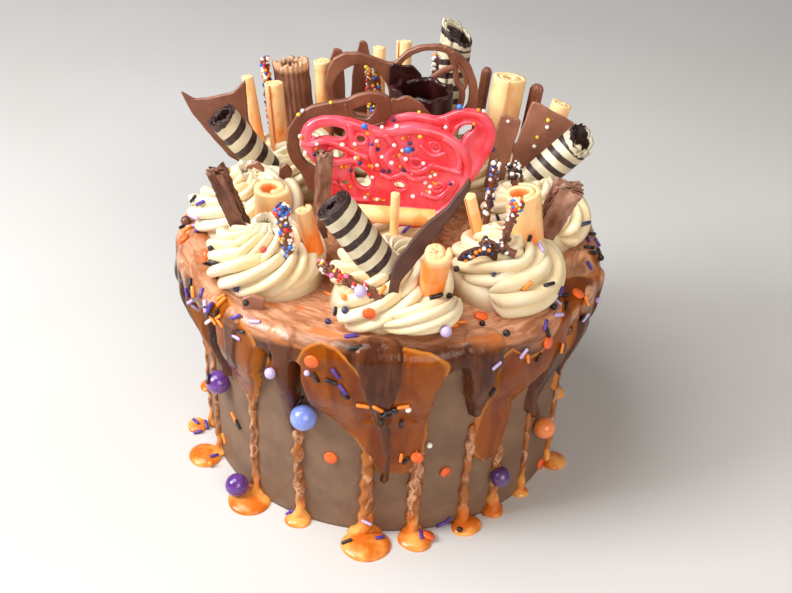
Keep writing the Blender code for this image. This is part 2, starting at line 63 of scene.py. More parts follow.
def place_camera():
    """The camera's axes: back tilts up from -Y, and right and up are turned round it by the roll."""
    back = Vector((0, -math.cos(TILT), math.sin(TILT)))
    right, up = Vector((1, 0, 0)), Vector((0, math.sin(TILT), math.cos(TILT)))
    across = math.cos(ROLL) * right + math.sin(ROLL) * up
    upward = math.cos(ROLL) * up - math.sin(ROLL) * right
    data = bpy.data.cameras.new("photo_camera")
    data.sensor_width = FILM
    data.lens = FILM * FOCUS / FRAME_WIDE
    data.shift_x = (FRAME_WIDE / 2 - CENTRE[0]) / FRAME_WIDE
    data.shift_y = (CENTRE[1] - FRAME_HIGH / 2) / FRAME_WIDE
    camera = bpy.data.objects.new("photo_camera", data)
    turned = Matrix((across, upward, back)).transposed().to_4x4()
    camera.matrix_world = Matrix.Translation(Vector((0, 0, AIM)) + AWAY * back) @ turned
    bpy.context.scene.collection.objects.link(camera)
    bpy.context.scene.camera = camera
    return camera


print("camera at", tuple(round(value, 3) for value in place_camera().matrix_world.translation))

# %% [markdown]
# ## Surfaces from arrays
# Almost every piece is a grid of points: rows along one direction, columns along another. Numpy works
# out the whole grid at once, and one helper joins neighbours into four-cornered faces. Where a row
# shrinks to a point, as at a pole, its doubled points are merged, so the skin is closed.

# %% Grids into meshes


def skin(points, loop_rows=False, loop_columns=False):
    """Points of a grid and its quads: each face joins a point with the next in its row and column."""
    rows, columns = points.shape[:2]
    index = np.arange(rows * columns).reshape(rows, columns)
    if loop_rows:
        index = np.vstack([index, index[:1]])
    if loop_columns:
        index = np.hstack([index, index[:, :1]])
    faces = np.stack([index[:-1, :-1], index[:-1, 1:], index[1:, 1:], index[1:, :-1]], -1)
    return points.reshape(-1, 3), faces.reshape(-1, 4)


def together(parts):
    """Several (points, faces) as one, the face numbers moved on by the points before them."""
    counts = np.cumsum([0] + [len(points) for points, _ in parts])
    faces = [faces + start for (_, faces), start in zip(parts, counts)]
    return np.concatenate([points for points, _ in parts]), np.concatenate(faces)


def placed(name, mesh):
    """The mesh as an object of the scene, unmoved."""
    piece = bpy.data.objects.new(name, mesh)
    bpy.context.scene.collection.objects.link(piece)
    return piece


def put(name, shape, marks=None, merge=True):
    """One object from (points, faces) in millimetres. Marks are named values, one for each point.
    Points closer than MERGE become one, and the faces are turned outward."""
    points, faces = shape
    mesh = bpy.data.meshes.new(name)
    mesh.vertices.add(len(points))
    mesh.vertices.foreach_set("co", (np.asarray(points, np.float32) * MM).ravel())
    mesh.loops.add(faces.size)
    mesh.loops.foreach_set("vertex_index", faces.astype(np.int32).ravel())
    mesh.polygons.add(len(faces))
    mesh.polygons.foreach_set("loop_start", np.arange(0, faces.size, faces.shape[1], dtype=np.int32))
    for mark, values in (marks or {}).items():
        values = np.asarray(values, np.float32)
        kind = "FLOAT_COLOR" if values.ndim == 2 and values.shape[1] == 4 else "FLOAT"
        layer = mesh.attributes.new(mark, kind, "POINT")
        layer.data.foreach_set("color" if kind == "FLOAT_COLOR" else "value", values.ravel())
    mesh.update(calc_edges=True)
    if merge:
        bm = bmesh.new()
        bm.from_mesh(mesh)
        bmesh.ops.remove_doubles(bm, verts=bm.verts, dist=MERGE * MM)
        bmesh.ops.recalc_face_normals(bm, faces=bm.faces)
        bm.to_mesh(mesh)
        bm.free()
    mesh.shade_smooth()
    return placed(name, mesh)


def dress(piece, finish, slot, *nodes):
    """The piece gets its finish, rides on the cake and stands for its rigid nodes."""
    piece.data.materials.append(finish)
    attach(piece, "root")
    if nodes:
        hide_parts(*nodes)
    triangles = sum(len(face.vertices) - 2 for face in piece.data.polygons)
    print(f"{piece.name}: {triangles} triangles")
    return piece


# %% [markdown]
# ### Unevenness
# Nothing on a cake is exact. Hills are the one source of unevenness for every shape here: a lattice of
# random heights, eased between its points and drawn from a seed, so each run gives the same cake.

# %% Random hills and eased steps


def eased(values):
    """3t2 - 2t3: a step from 0 to 1 that starts and ends flat."""
    t = np.clip(values, 0, 1)
    return t * t * (3 - 2 * t)


def hills(u, v, cells, seed):
    """Random heights from -1 to 1 on a lattice that closes on itself, eased from one to the next."""
    heights = np.random.default_rng(seed).uniform(-1, 1, cells)
    u, v = np.broadcast_arrays(np.asarray(u, float) * cells[0], np.asarray(v, float) * cells[1])
    i, j = np.floor(u).astype(int), np.floor(v).astype(int)
    s, t = eased(u - i), eased(v - j)

    def corner(a, b):
        return heights[(i + a) % cells[0], (j + b) % cells[1]]

    near = corner(0, 0) * (1 - s) + corner(1, 0) * s
    far = corner(0, 1) * (1 - s) + corner(1, 1) * s
    return near * (1 - t) + far * t


# %% [markdown]
# ## Shader sums
# A node tree is easier to read as arithmetic. The class below wraps a node's output, and adding or
# multiplying two of them adds the Math node that does it. Colours are mixed by Mix nodes, because a
# Math node would turn them grey.

# %% Shader arithmetic


class Value:
    """A number that changes over a surface."""

    def __init__(self, finish, socket):
        self.finish, self.socket = finish, socket

    def sum(self, kind, *others):
        return self.finish.node("ShaderNodeMath", {"operation": kind}, dict(enumerate(others)))

    def __add__(self, other):
        return self.sum("ADD", self, other)

    def __mul__(self, other):
        return self.sum("MULTIPLY", self, other)

    def __sub__(self, other):
        return self.sum("SUBTRACT", self, other)

    def __rsub__(self, other):
        return self.sum("SUBTRACT", other, self)

    __radd__, __rmul__ = __add__, __mul__

    def step(self, low, high):
        """0 below low, 1 above high, eased between."""
        settings = {"interpolation_type": "SMOOTHSTEP"}
        sockets = {"Value": self, "From Min": low, "From Max": high}
        return self.finish.node("ShaderNodeMapRange", settings, sockets)


class Finish:
    """A material built in Python: any node from one method, and the shader's sockets at the end."""

    def __init__(self, name):
        self.material = bpy.data.materials.new(name)
        self.material.use_nodes = True
        self.tree = self.material.node_tree
        self.shader = self.tree.nodes["Principled BSDF"]

    def node(self, kind, settings=None, sockets=None, out=0):
        made = self.tree.nodes.new(kind)
        for setting, value in (settings or {}).items():
            setattr(made, setting, value)
        for place, value in (sockets or {}).items():
            self.join(made.inputs[place], value)
        return Value(self, made.outputs[out])

    def join(self, socket, value):
        if isinstance(value, Value):
            self.tree.links.new(value.socket, socket)
        elif socket.type == "RGBA" and len(value) == 3:
            socket.default_value = (*value, 1)
        else:
            socket.default_value = value

    def mark(self, name, out=2):
        """A named value of the mesh; out 0 is its colour, 1 its vector and 2 its number."""
        return self.node("ShaderNodeAttribute", {"attribute_name": name}, out=out)

    def noise(self, scale, detail=3, rough=0.55, stretch=(1, 1, 1), warp=0.0, space=None):
        """Soft noise, its scale in patches for each unit of the space, drawn out by stretch. The space
        is the piece's own, in metres, where no other is given."""
        if space is None:
            space = self.node("ShaderNodeTexCoord", out=3)
        where = self.node("ShaderNodeMapping", {}, {"Vector": space, "Scale": stretch})
        sockets = {"Vector": where, "Scale": scale, "Detail": detail, "Roughness": rough, "Distortion": warp}
        return self.node("ShaderNodeTexNoise", {}, sockets)

    def blend(self, mask, low, high):
        """A colour that is low where the mask is 0 and high where it is 1. The Mix node has a set of
        inputs for each type: 6 and 7 are its colours, and output 2 is their mix."""
        return self.node("ShaderNodeMix", {"data_type": "RGBA"}, {0: mask, 6: low, 7: high}, out=2)

    def bump(self, height, depth, strength=1.0, under=None):
        """Height from 0 to 1 as relief, its depth in metres."""
        sockets = {"Height": height, "Distance": depth, "Strength": strength}
        if under is not None:
            sockets["Normal"] = under
        return self.node("ShaderNodeBump", {}, sockets)

    def done(self, **sockets):
        """The shader's sockets, by their names with spaces as _."""
        for name, value in sockets.items():
            self.join(self.shader.inputs[name.replace("_", " ")], value)
        return self.material


def rgb(red, green, blue):
    """A screen colour from 0 to 255 as the light it stands for, by the sRGB curve."""
    share = np.array([red, green, blue]) / 255
    light = np.where(share <= 0.04045, share / 12.92, ((share + 0.055) / 1.055) ** 2.4)
    return tuple(float(value) for value in light)


# %% [markdown]
# ## Wall and glaze
# On the cake this is three things at once: the satin milk-chocolate icing of the wall, the thick pour
# over the rim, and the caramel and chocolate that ran down from it. They could be separate shells, but
# real drips melt into the wall. So the whole skin is one turned surface that is worked out twice, once
# bare and once fully glazed, and each point lies between the two as far as a drip covers it there.
# The cover is a signed distance: millimetres inside the edge of the nearest drip.

# %% The two profiles
WALL, RIM, TOP = 92.0, 102.2, 113.6     # radius of the bare wall and of the rim, height of the rim
SKIRT, CORNER = 94.4, 8                 # radius of the glaze low on the wall, and of the rim's rounding
BEND = CORNER * math.pi / 2             # the length of that rounding


def rounding(along):
    """How far the skin has turned from upright to level there, in radians."""
    return np.clip((along - (TOP - CORNER)) / BEND, 0, 1) * math.pi / 2


def glazed_profile(along):
    """Radius and height of the full glaze at a length along it: up the wall, round the rim on a
    quarter circle, and in across the top."""
    swell = SKIRT + (RIM - SKIRT) * eased((along - 62) / 30)
    corner = rounding(along)
    radius = swell - CORNER * (1 - np.cos(corner))
    height = np.minimum(along, TOP - CORNER) + CORNER * np.sin(corner)
    inward = np.clip(along - (TOP - CORNER) - BEND, 0, None)
    return np.maximum(radius - inward, 0), height


def bare_profile(along):
    """The same for the bare cake, which is hidden above the drips."""
    radius, height = glazed_profile(along)
    return np.minimum(radius, WALL), np.minimum(height, TOP - 4)


front = np.linspace(172, 368, 452, endpoint=False)
back = np.linspace(368, 532, 178, endpoint=False)
turn = np.concatenate([front, back])
along = np.concatenate([np.arange(0, 24, 1.6), np.arange(24, 100, 0.78), np.arange(100, 124, 0.9),
                        np.arange(124, 150, 2.6), [160, 185, 215.8]])
TURN, ALONG = np.meshgrid(turn, along)
print("glaze grid", TURN.shape)

# %% [markdown]
# ### Where the drips lie
# A drip is a fat line whose half width changes along it, and a broad sheet is an outline. Both give a
# distance to their edge, and a soft maximum melts them together where they meet, as syrup does.

# %% Distance fields


REACH = 95          # a radius between the wall's and the glaze's, in millimetres, to measure along it


def apart(first, second):
    """Millimetres round the wall from one angle to another, the short way."""
    return ((first - second + 180) % 360 - 180) * math.pi / 180 * REACH


def fat_line(points):
    """How far inside a line of (angle, height, half width) each grid point lies: the half width at the
    nearest place on the line, less the distance to it."""
    inside = np.full(TURN.shape, -99.0)
    for (a0, z0, w0), (a1, z1, w1) in zip(points, points[1:]):
        x, z = apart(TURN, a0), ALONG - z0
        dx, dz = apart(a1, a0), z1 - z0
        share = np.clip((x * dx + z * dz) / (dx * dx + dz * dz), 0, 1)
        gap = np.hypot(x - share * dx, z - share * dz)
        inside = np.maximum(inside, w0 + (w1 - w0) * share - gap)
    return inside


def sheet(outline):
    """Distance inside an outline of (angle, height): to its nearest edge, and negative outside it."""
    centre = outline[0][0]
    x, z = apart(TURN, centre), ALONG
    corners = np.array([(apart(a, centre), h) for a, h in outline])
    nearest, odd = np.full(TURN.shape, 1e9), np.zeros(TURN.shape, bool)
    for (x0, z0), (x1, z1) in zip(corners, np.roll(corners, -1, 0)):
        dx, dz = x1 - x0, z1 - z0
        share = np.clip(((x - x0) * dx + (z - z0) * dz) / (dx * dx + dz * dz), 0, 1)
        nearest = np.minimum(nearest, np.hypot(x - x0 - share * dx, z - z0 - share * dz))
        crossing = (z0 > z) != (z1 > z)
        odd ^= crossing & (x < dx * (z - z0) / (dz if dz else 1e-9) + x0)
    return np.where(odd, nearest, -nearest)


def melted(first, second, soft=2.0):
    """The larger of two distances, rounded off where they are alike."""
    blend = np.clip(0.5 + 0.5 * (first - second) / soft, 0, 1)
    return second + (first - second) * blend + soft * blend * (1 - blend)


SHEETS = [
    [(247, 124), (248.4, 92), (250, 76), (256, 68), (262, 58), (266, 48), (269, 39), (276, 38), (281, 43),
     (282.5, 60), (283, 88), (285, 97), (287, 124)],
    [(297, 124), (299, 84), (296.5, 62), (295, 48), (300, 36), (306, 38), (308, 56), (309, 68),
     (315, 78), (323, 82), (326, 124)],
    [(218, 124), (222, 80), (224, 66), (229, 55), (232, 66), (235, 86), (240, 124)],
    [(128, 124), (131, 66), (138, 50), (144, 72), (150, 124)],
    [(60, 124), (64, 72), (72, 58), (82, 62), (88, 124)]]
CARAMEL_DRIPS = [   # angle, tip height, width, drift to the right at the tip
    (202, 58, 6.5, 0), (214, 76, 6, 0), (240, 84, 5, 0), (329, 70, 5, 0), (334, 50, 5.5, -1),
    (342, 66, 6, 0), (350, 58, 7, 0), (2, 70, 8, 0), (14, 48, 7, 1), (27, 78, 8, 0), (40, 60, 7, 0),
    (53, 82, 7, 0), (76, 44, 8, 0), (95, 74, 8, 0), (106, 56, 7, 1), (119, 84, 7, 0), (134, 38, 7, 0),
    (157, 76, 8, 0), (168, 52, 7, 0), (180, 72, 8, 0), (190, 80, 6, 0)]
CHOCOLATE_DRIPS = [   # lines of (angle, height, half width)
    [(219.5, 110, 2.4), (219, 92, 1.8), (218, 66, 1.7)],
    [(228.5, 110, 4.5), (228.3, 96, 3.6), (228, 84, 2.6)],
    [(243.8, 112, 6), (244, 90, 4.2), (243.8, 66, 3.4), (244.6, 58, 3)],
    [(268.5, 112, 9), (268.8, 98, 8), (269.3, 84, 4.6), (270.3, 68, 2.6), (271.5, 50, 1.6), (271, 34, 1.2)],
    [(294.5, 112, 9), (295, 98, 7), (295.2, 80, 4.6), (295.8, 70, 2.6)],
    [(319.5, 90, 5.5), (319.6, 72, 5.2), (317.5, 58, 3.4), (320.5, 50, 2.8)],
    [(334, 106, 6), (333, 84, 4.5), (331, 68, 3)],
    [(346, 104, 5), (345, 80, 3.6)], [(12, 104, 6), (10, 84, 4)], [(47, 104, 7), (46, 76, 4)],
    [(98, 106, 7), (97, 86, 4)], [(124, 106, 6), (123, 80, 3.6)], [(160, 106, 8), (161, 84, 4)],
    [(196, 108, 6), (197, 88, 3.6), (196.5, 74, 2.8)], [(184, 104, 8), (184, 84, 5)]]


def drip(angle, tip, width, drift):
    """A caramel drip: narrow above its round tip and wide again where it leaves the rim."""
    half = width / 2
    return fat_line([(angle, 112, half * 1.7), (angle, (tip + 112) / 2 + 8, half * 0.95),
                     (angle + drift * 0.4, tip + 14, half * 0.8), (angle + drift, tip + half, half * 1.08)])


BROW = [   # how high the caramel reaches at an angle; above it the pour is chocolate
    (178, 104), (190, 108), (202, 103), (212, 104), (219, 110), (224, 116), (228, 112), (233, 109.5),
    (237, 108.5), (239, 104), (241, 99), (247, 102), (249.2, 107), (250.8, 110.8), (254.2, 115),
    (257.8, 114), (260.8, 109), (264, 102), (272.6, 103), (273.2, 111), (274.4, 114.2), (277, 114.4),
    (280.8, 112.8), (283.2, 110.4), (286, 110), (288, 105), (291, 99), (297.5, 107), (302, 108),
    (306.2, 100), (312, 99), (318, 107), (323, 117), (330, 126), (336, 118), (343, 111), (350, 117),
    (357, 106), (368, 112), (380, 104), (395, 115), (410, 103), (425, 110), (440, 104), (455, 118),
    (470, 105), (485, 112), (500, 103), (515, 116), (528, 106), (538, 104)]


# The brown below this line is partly painted shade: the dark band under the rim's rounding. The line stands
# higher at the front, which paints the front of the rim darker.
POUR_AND_SHADE_LINE = [   # above which height the pour over the rim turns from brown to milk chocolate, at an angle
    (172, 102), (215, 103), (238, 103), (248, 106), (258, 110), (266, 115), (280, 112), (292, 109),
    (300, 105), (308, 101), (318, 98), (345, 98), (365, 102), (538, 102)]


def cover():
    """Three fields, each the distance inside something: any glaze, the chocolate, and the caramel, which
    ends at its brow."""
    edge = 99 + 2.4 * hills(TURN / 360, 0, (40, 1), 3) + 1.2 * hills(TURN / 360, 0, (90, 1), 4)
    caramel = np.full(TURN.shape, -99.0)
    for outline in SHEETS:
        caramel = melted(caramel, sheet(outline))
    for row in CARAMEL_DRIPS:
        caramel = melted(caramel, drip(*row))
    chocolate = np.full(TURN.shape, -99.0)
    for line in CHOCOLATE_DRIPS:
        chocolate = melted(chocolate, fat_line(line), 1.0)
    wobble = 0.5 * hills(TURN / 360, ALONG / 110, (130, 24), 5)
    rim = melted(ALONG - edge, caramel)
    brow = np.interp(TURN, *np.array(BROW).T) + 1.3 * hills(TURN / 360, 0, (70, 1), 6)
    amber = -melted(-np.maximum(caramel, ALONG - 107), ALONG - brow, 7.0)
    return melted(rim, chocolate + 0.6) + wobble, chocolate + wobble, amber + 1.6 * wobble


COVER, CHOCOLATE, AMBER = cover()
print("share of the wall that is glazed:", round(float((COVER[ALONG < 100] > 0).mean()), 2))

# %% [markdown]
# ### The skin itself
# The edge of a drip is a quarter circle: the cover rises as the square root of 1 - (1 - s)2 over the
# first millimetres. Slow waves along the flow and a few lumps keep the pour from looking turned.

# %% Glazed cake


def rounded(inside, width):
    """From 0 at the edge to 1 at that width inside it, as a quarter circle."""
    return np.sqrt(np.clip(1 - (1 - np.clip(inside / width, 0, 1)) ** 2, 0, 1))


LUMPS = [(184, 88, 9, 2.6), (188, 74, 5, 1.2), (258, 84, 10, 1.0), (280, 100, 9, 0.9), (345, 104, 8, 1.3),
         (305, 60, 7, 0.8), (20, 96, 10, 1.2), (90, 92, 9, 1.3), (150, 98, 10, 1.2)]


def glazed_cake():
    """Each point slides from the bare profile to the glazed one by its cover, then outward by the
    chocolate's own thickness, by waves drawn out along the flow, and by the lumps."""
    share = rounded(COVER, 3.0)
    bare, full = bare_profile(ALONG), glazed_profile(ALONG)
    radius = bare[0] + (full[0] - bare[0]) * share
    height = bare[1] + (full[1] - bare[1]) * share
    lift = 1.1 * rounded(CHOCOLATE, 1.8) + 0.05 * np.clip(COVER, 0, 8)
    lift += share * 0.55 * hills(TURN / 360 + 0.004 * np.sin(ALONG / 9), ALONG / 120, (70, 9), 7)
    lift += share * 0.22 * hills(TURN / 360, ALONG / 120, (150, 26), 8)
    for angle, level, wide, tall in LUMPS:
        gap = (apart(TURN, angle) ** 2 + (ALONG - level) ** 2) / wide ** 2
        lift += share * tall * np.exp(-gap)
    steep = rounding(ALONG)
    inside = eased((150 - ALONG) / 12)
    radius = radius + lift * np.cos(steep) * inside
    height = height + lift * np.sin(steep) * inside
    radius = radius + 0.35 * hills(TURN / 360, ALONG / 110, (14, 3), 9) * eased(ALONG / 20)
    height[0] = 0
    a = np.radians(TURN)
    points = np.stack([radius * np.cos(a), radius * np.sin(a), height], -1)
    floor = points[:1] * (0, 0, 1)
    points = np.concatenate([floor, points])
    pour = ALONG - np.interp(TURN, *np.array(POUR_AND_SHADE_LINE).T)
    marks = {"cover": COVER, "chocolate": CHOCOLATE, "amber": AMBER, "pour": pour}
    marks = {name: np.vstack([field[:1], field]).ravel() for name, field in marks.items()}
    flow = np.stack([np.cos(a), np.sin(a), ALONG / 100, np.ones(TURN.shape)], -1)
    marks["flow"] = np.concatenate([flow[:1], flow]).reshape(-1, 4)
    return put("glazed_cake", skin(points, loop_columns=True), marks)


cake_piece = glazed_cake()

# %% [markdown]
# ### Its finish
# The wall is a warm grey-brown with a faint mottle. The caramel is amber, paler and yellower where it
# is thin at an edge. The pour is milk chocolate streaked with peach over the rim and turns to dark
# brown threads below it. That brown is partly the chocolate's own colour and partly painted shade, the
# shadow under the rim's rounding, and it reaches higher at the front of the rim. All of the glaze is
# smooth and shines, and the wall stays satin.

# %% Icing and glaze finish


def glaze_finish():
    """Five colours laid over each other by the marks of the skin. The flow mark runs round and along
    the skin, so noise laid on it is drawn out sideways by swim or downward by fall."""
    f = Finish("icing_and_glaze")
    cover, dark, pour, caramel = (f.mark(name) for name in ("cover", "chocolate", "pour", "amber"))
    flow, swim, fall = f.mark("flow", 1), (4.5, 4.5, 17), (20, 20, 4)
    streak = f.noise(1.6, 4, 0.6, swim, 0.7, flow)
    thread = f.noise(1.2, 3, 0.55, fall, 0.4, flow)
    ribbon = f.noise(0.6, 3, 0.5, swim, 1.2, flow)
    cloud, mottle = f.noise(60, 3, 0.6, (1, 1, 0.3), 1.2), f.noise(55, 4, 0.6)
    wall = f.blend(mottle.step(0.3, 0.7), rgb(115, 88, 69), rgb(132, 103, 81))
    amber = f.blend(cloud.step(0.35, 0.68), rgb(112, 47, 1), rgb(146, 73, 3))
    amber = f.blend(caramel.step(0.2, 2.2) * cover.step(0.3, 2.2), rgb(190, 116, 44), amber)
    brown = f.blend(thread.step(0.3, 0.7), rgb(64, 29, 12), rgb(98, 51, 25))
    milk = f.blend(streak.step(0.34, 0.68), rgb(158, 100, 68), rgb(210, 154, 118))
    milk = f.blend(ribbon.step(0.57, 0.66) * 0.7, milk, rgb(196, 108, 46))
    # below the pour line the chocolate is brown: partly its own darker colour, partly painted shade under
    # the rim
    choco = f.blend((pour + (ribbon - 0.5) * 16).step(0, 9), brown, milk)
    glaze = f.blend(caramel.step(-0.3, 0.5), choco, amber)
    glaze = f.blend(dark.step(-0.35, 0.25), glaze, f.blend(pour.step(-2, 8), brown, choco))
    covered = cover.step(-0.25, 0.15)
    colour = f.blend(covered, wall, glaze)
    soft = f.bump(f.noise(900, 2, 0.5), 0.00012, 0.5)
    waves = f.noise(150, 3, 0.5, (1, 1, 0.5), 0.6)
    relief = f.bump(waves * covered, 0.0009, 0.5, soft)
    return f.done(Base_Color=colour, Roughness=0.6 - 0.42 * covered, Normal=relief, Specular_IOR_Level=0.28)


dress(cake_piece, glaze_finish(), "icing", "cake")

# %% [markdown]
# ## Strings and puddles
# From the tip of each drip a thin string runs on down the wall, twisted like a cord because caramel and
# chocolate came down together, and ends in a flat puddle. A string is a two-lobed outline carried down
# the wall while it turns; a puddle is a low dome with an uneven edge.

# %% Carrying an outline along a path


def unit(vectors):
    return vectors / np.maximum(np.linalg.norm(vectors, axis=-1, keepdims=True), 1e-9)


def axes_of(foot, tip, up=(0, 1, 0)):
    """The foot as an array, the length to the tip, the axis that way, and two directions across it."""
    foot, tip = np.array(foot, float), np.array(tip, float)
    length = np.linalg.norm(tip - foot)
    axis = (tip - foot) / length
    side = unit(np.cross(axis, up))
    return foot, length, axis, side, np.cross(side, axis)


def carried(outline, path, up, size=1.0, spin=0.0, closed=False):
    """An outline (k, 2) or (n, k, 2) carried along a path (n, 3). Side is across the path and level
    with up; the outline's first number goes along side and its second along the third axis. Size and
    spin may change from point to point. An open path gets a point at each end, which closes the skin."""
    path = np.asarray(path, float)
    if closed:
        tangent = unit(np.roll(path, -1, 0) - np.roll(path, 1, 0))
    else:
        tangent = unit(np.gradient(path, axis=0))
    side = unit(np.cross(tangent, np.broadcast_to(up, path.shape)))
    lift = np.cross(side, tangent)
    outline = np.broadcast_to(outline, (len(path),) + np.shape(outline)[-2:])
    size = np.broadcast_to(size, len(path))[:, None]
    spin = np.broadcast_to(spin, len(path))[:, None]
    x = (outline[..., 0] * np.cos(spin) - outline[..., 1] * np.sin(spin)) * size
    y = (outline[..., 0] * np.sin(spin) + outline[..., 1] * np.cos(spin)) * size
    grid = path[:, None] + side[:, None] * x[..., None] + lift[:, None] * y[..., None]
    if not closed:
        first = np.broadcast_to(path[:1, None], grid[:1].shape)
        last = np.broadcast_to(path[-1:, None], grid[:1].shape)
        grid = np.concatenate([first, grid, last])
    return grid


NEARLY_Y = (0, 1, 0.01)      # for a line that may itself run along y


def ring(count, lobes=0, depth=0.0):
    """A circle of radius 1 with that many waves of that depth round it."""
    a = np.arange(count) / count * 2 * math.pi
    r = 1 + depth * np.cos(lobes * a)
    return np.stack([r * np.cos(a), r * np.sin(a)], -1)


# %% [markdown]
# ### Where the strings run
# Each string starts at the tip of its drip. It beads a little, as a thin thread of syrup does, and its
# foot widens into the puddle. The thickest ones stand at the front, where they are seen.

# %% Strings and puddles
STRINGS = [   # angle, height where it starts, width, puddle width, how far its middle stands off the wall
    (192, 74, 3.2, 11, 8), (206, 66, 3.8, 16, 9), (229, 62, 4.3, 20, 6.5), (245.6, 62, 5.0, 11.5, 3.5),
    (266, 46, 6.4, 21, 9), (280, 48, 5.6, 15.5, 6), (295.5, 56, 4.2, 13.5, 4), (306, 42, 5.2, 9.5, 2),
    (318.5, 54, 3.0, 7.5, 1.2), (337, 58, 3.2, 12, 5), (12, 60, 3.8, 12, 5), (36, 70, 3.6, 13, 6),
    (74, 56, 4.4, 15, 7), (101, 66, 3.6, 11, 4), (137, 56, 4.4, 16, 7), (172, 60, 3.6, 12, 5)]


def string(angle, start, width, seed):
    """Down the wall from the drip to the puddle, wandering a little, two lobes turning once in two
    centimetres, a bead here and there, and the foot opening into the puddle with the square of z."""
    rows = int(start * 1.1) + 8
    z = np.linspace(start + 5, 0.8, rows)
    wander = 0.7 * hills(z / 130, 0, (9, 1), seed)
    a = np.radians(angle) + wander / 94
    out = WALL + 0.1 + width * 0.1
    path = np.stack([out * np.cos(a), out * np.sin(a), z], -1)
    up = np.stack([np.cos(a), np.sin(a), np.zeros(rows)], -1)
    beads = 1 + 0.22 * hills(z / 130, 0, (19, 1), seed + 50)
    foot = 1 + 1.1 * np.clip((11 - z) / 11, 0, 1) ** 2
    size = width / 2 * beads * foot * eased((start + 6 - z) / 9 + 0.35)
    spin = z / 10 * math.pi
    grid = carried(ring(10, 2, 0.2), path, up, size, spin)
    return skin(grid, loop_columns=True), grid[..., 2].ravel()


def puddle(angle, wide, out, seed):
    """A dome whose height is the square root of 1 - r2, its edge pushed in and out by waves."""
    a = np.arange(36) / 36 * 2 * math.pi
    r = np.sin(np.linspace(0, math.pi / 2, 9))[:, None]
    edge = wide / 2 * (1 + 0.13 * hills(a / (2 * math.pi), 0, (5, 1), seed))
    turned = math.radians(angle)
    x = r * edge * np.cos(a) * 1.12
    y = r * edge * np.sin(a)
    z = min(3.4, 1.2 + wide * 0.13) * np.sqrt(1 - r ** 2 * 0.999) + 0 * a
    middle = WALL + out
    px = (middle - y) * math.cos(turned) - x * math.sin(turned)
    py = (middle - y) * math.sin(turned) + x * math.cos(turned)
    grid = np.stack([px, py, z + 0.02], -1)
    low = grid[-1:].copy()
    low[..., 2] = 0
    middle_low = np.broadcast_to(low.mean(1, keepdims=True), low.shape)
    return skin(np.concatenate([grid, low, middle_low]), loop_columns=True)


def strings_and_puddles():
    parts, level = [], []
    for seed, (angle, start, width, wide, out) in enumerate(STRINGS):
        shape, heights = string(angle, start, width, seed + 20)
        pool = puddle(angle, wide, out, seed + 60)
        parts += [shape, pool]
        level += [heights, np.zeros(len(pool[0]))]
    return put("strings_and_puddles", together(parts), {"level": np.concatenate(level)})


def caramel_finish():
    """Brown caramel with peach threads along it; clear orange in the puddles, with paler patches painted
    there as highlights.
    """
    f = Finish("caramel_string")
    swirl, cloud = f.noise(230, 3, 0.6, (1, 1, 0.5), 1.5), f.noise(90, 2, 0.5)
    colour = f.blend(swirl.step(0.42, 0.62), rgb(128, 72, 36), rgb(206, 152, 112))
    colour = f.blend(cloud.step(0.42, 0.62), colour, rgb(162, 92, 34))
    # the puddles' orange, with paler patches that are painted highlights
    pooled_with_highlights = f.blend(cloud.step(0.4, 0.66), rgb(206, 104, 26), rgb(244, 168, 84))
    colour = f.blend((f.mark("level") + cloud * 8).step(8, 24), pooled_with_highlights, colour)
    relief = f.bump(f.noise(400, 2), 0.0003, 0.4)
    return f.done(Base_Color=colour, Roughness=0.2, Normal=relief, Specular_IOR_Level=0.4)


dress(strings_and_puddles(), caramel_finish(), "icing")

# %% [markdown]
# ## Swirls of cream
# A star nozzle lays a rope of cream in a coil that climbs to a soft peak. The rope's lobes turn slowly
# as the hand goes round, which gives the slanting folds. Carrying a star outline along a rising spiral
# gives the same folds for the same reason, so nothing has to be carved.

# %% Cream
LOBES = 7


def curve(points, step=1.0):
    """A smooth line through the points, by the Catmull-Rom rule, in even small steps."""
    p = np.array(points, float)
    p = np.vstack([2 * p[0] - p[1], p, 2 * p[-1] - p[-2]])
    out = []
    for a, b, c, d in zip(p, p[1:], p[2:], p[3:]):
        t = np.linspace(0, 1, max(2, int(np.linalg.norm(c - b) / step)), endpoint=False)[:, None]
        out.append(0.5 * (2 * b + (c - a) * t + (2 * a - 5 * b + 4 * c - d) * t ** 2
                          + (3 * b - a - 3 * c + d) * t ** 3))
    return np.concatenate(out + [p[-2:-1]])


ROPE, TURNS = 11.2, 2.35      # thickest radius of the rope in millimetres, and times it goes round
CREAM_AT = [   # node, angle and distance from the cake's axis, radius, height, first angle, twist
    ("rosette_1", 270, 63.4, 31.8, 26, 215, 25), ("rosette_2", 317.5, 69, 30, 26.5, 250, 13),
    ("rosette_3", 362, 68, 30.3, 27, 300, 18), ("rosette_4", 406, 66.5, 30, 27, 20, 24),
    ("rosette_5", 450, 66.5, 30, 27, 80, 16), ("rosette_6", 494, 66.5, 30, 27, 120, 22),
    ("rosette_7", 538, 68, 30.3, 27, 170, 19), ("rosette_8", 220.5, 69.5, 30, 26.5, 130, 31),
    ("rosette_middle", 0, 0, 30, 26, 40, 20)]


def star(count, depth):
    """Rounded lobes with sharp valleys: radius 1 - depth (1 - |cos|^0.55) of the angle times lobes / 2."""
    a = np.arange(count) / count * 2 * math.pi
    r = 1 - depth * (1 - np.abs(np.cos(a * LOBES / 2)) ** 0.55)
    return np.stack([r * np.cos(a), r * np.sin(a)], -1)


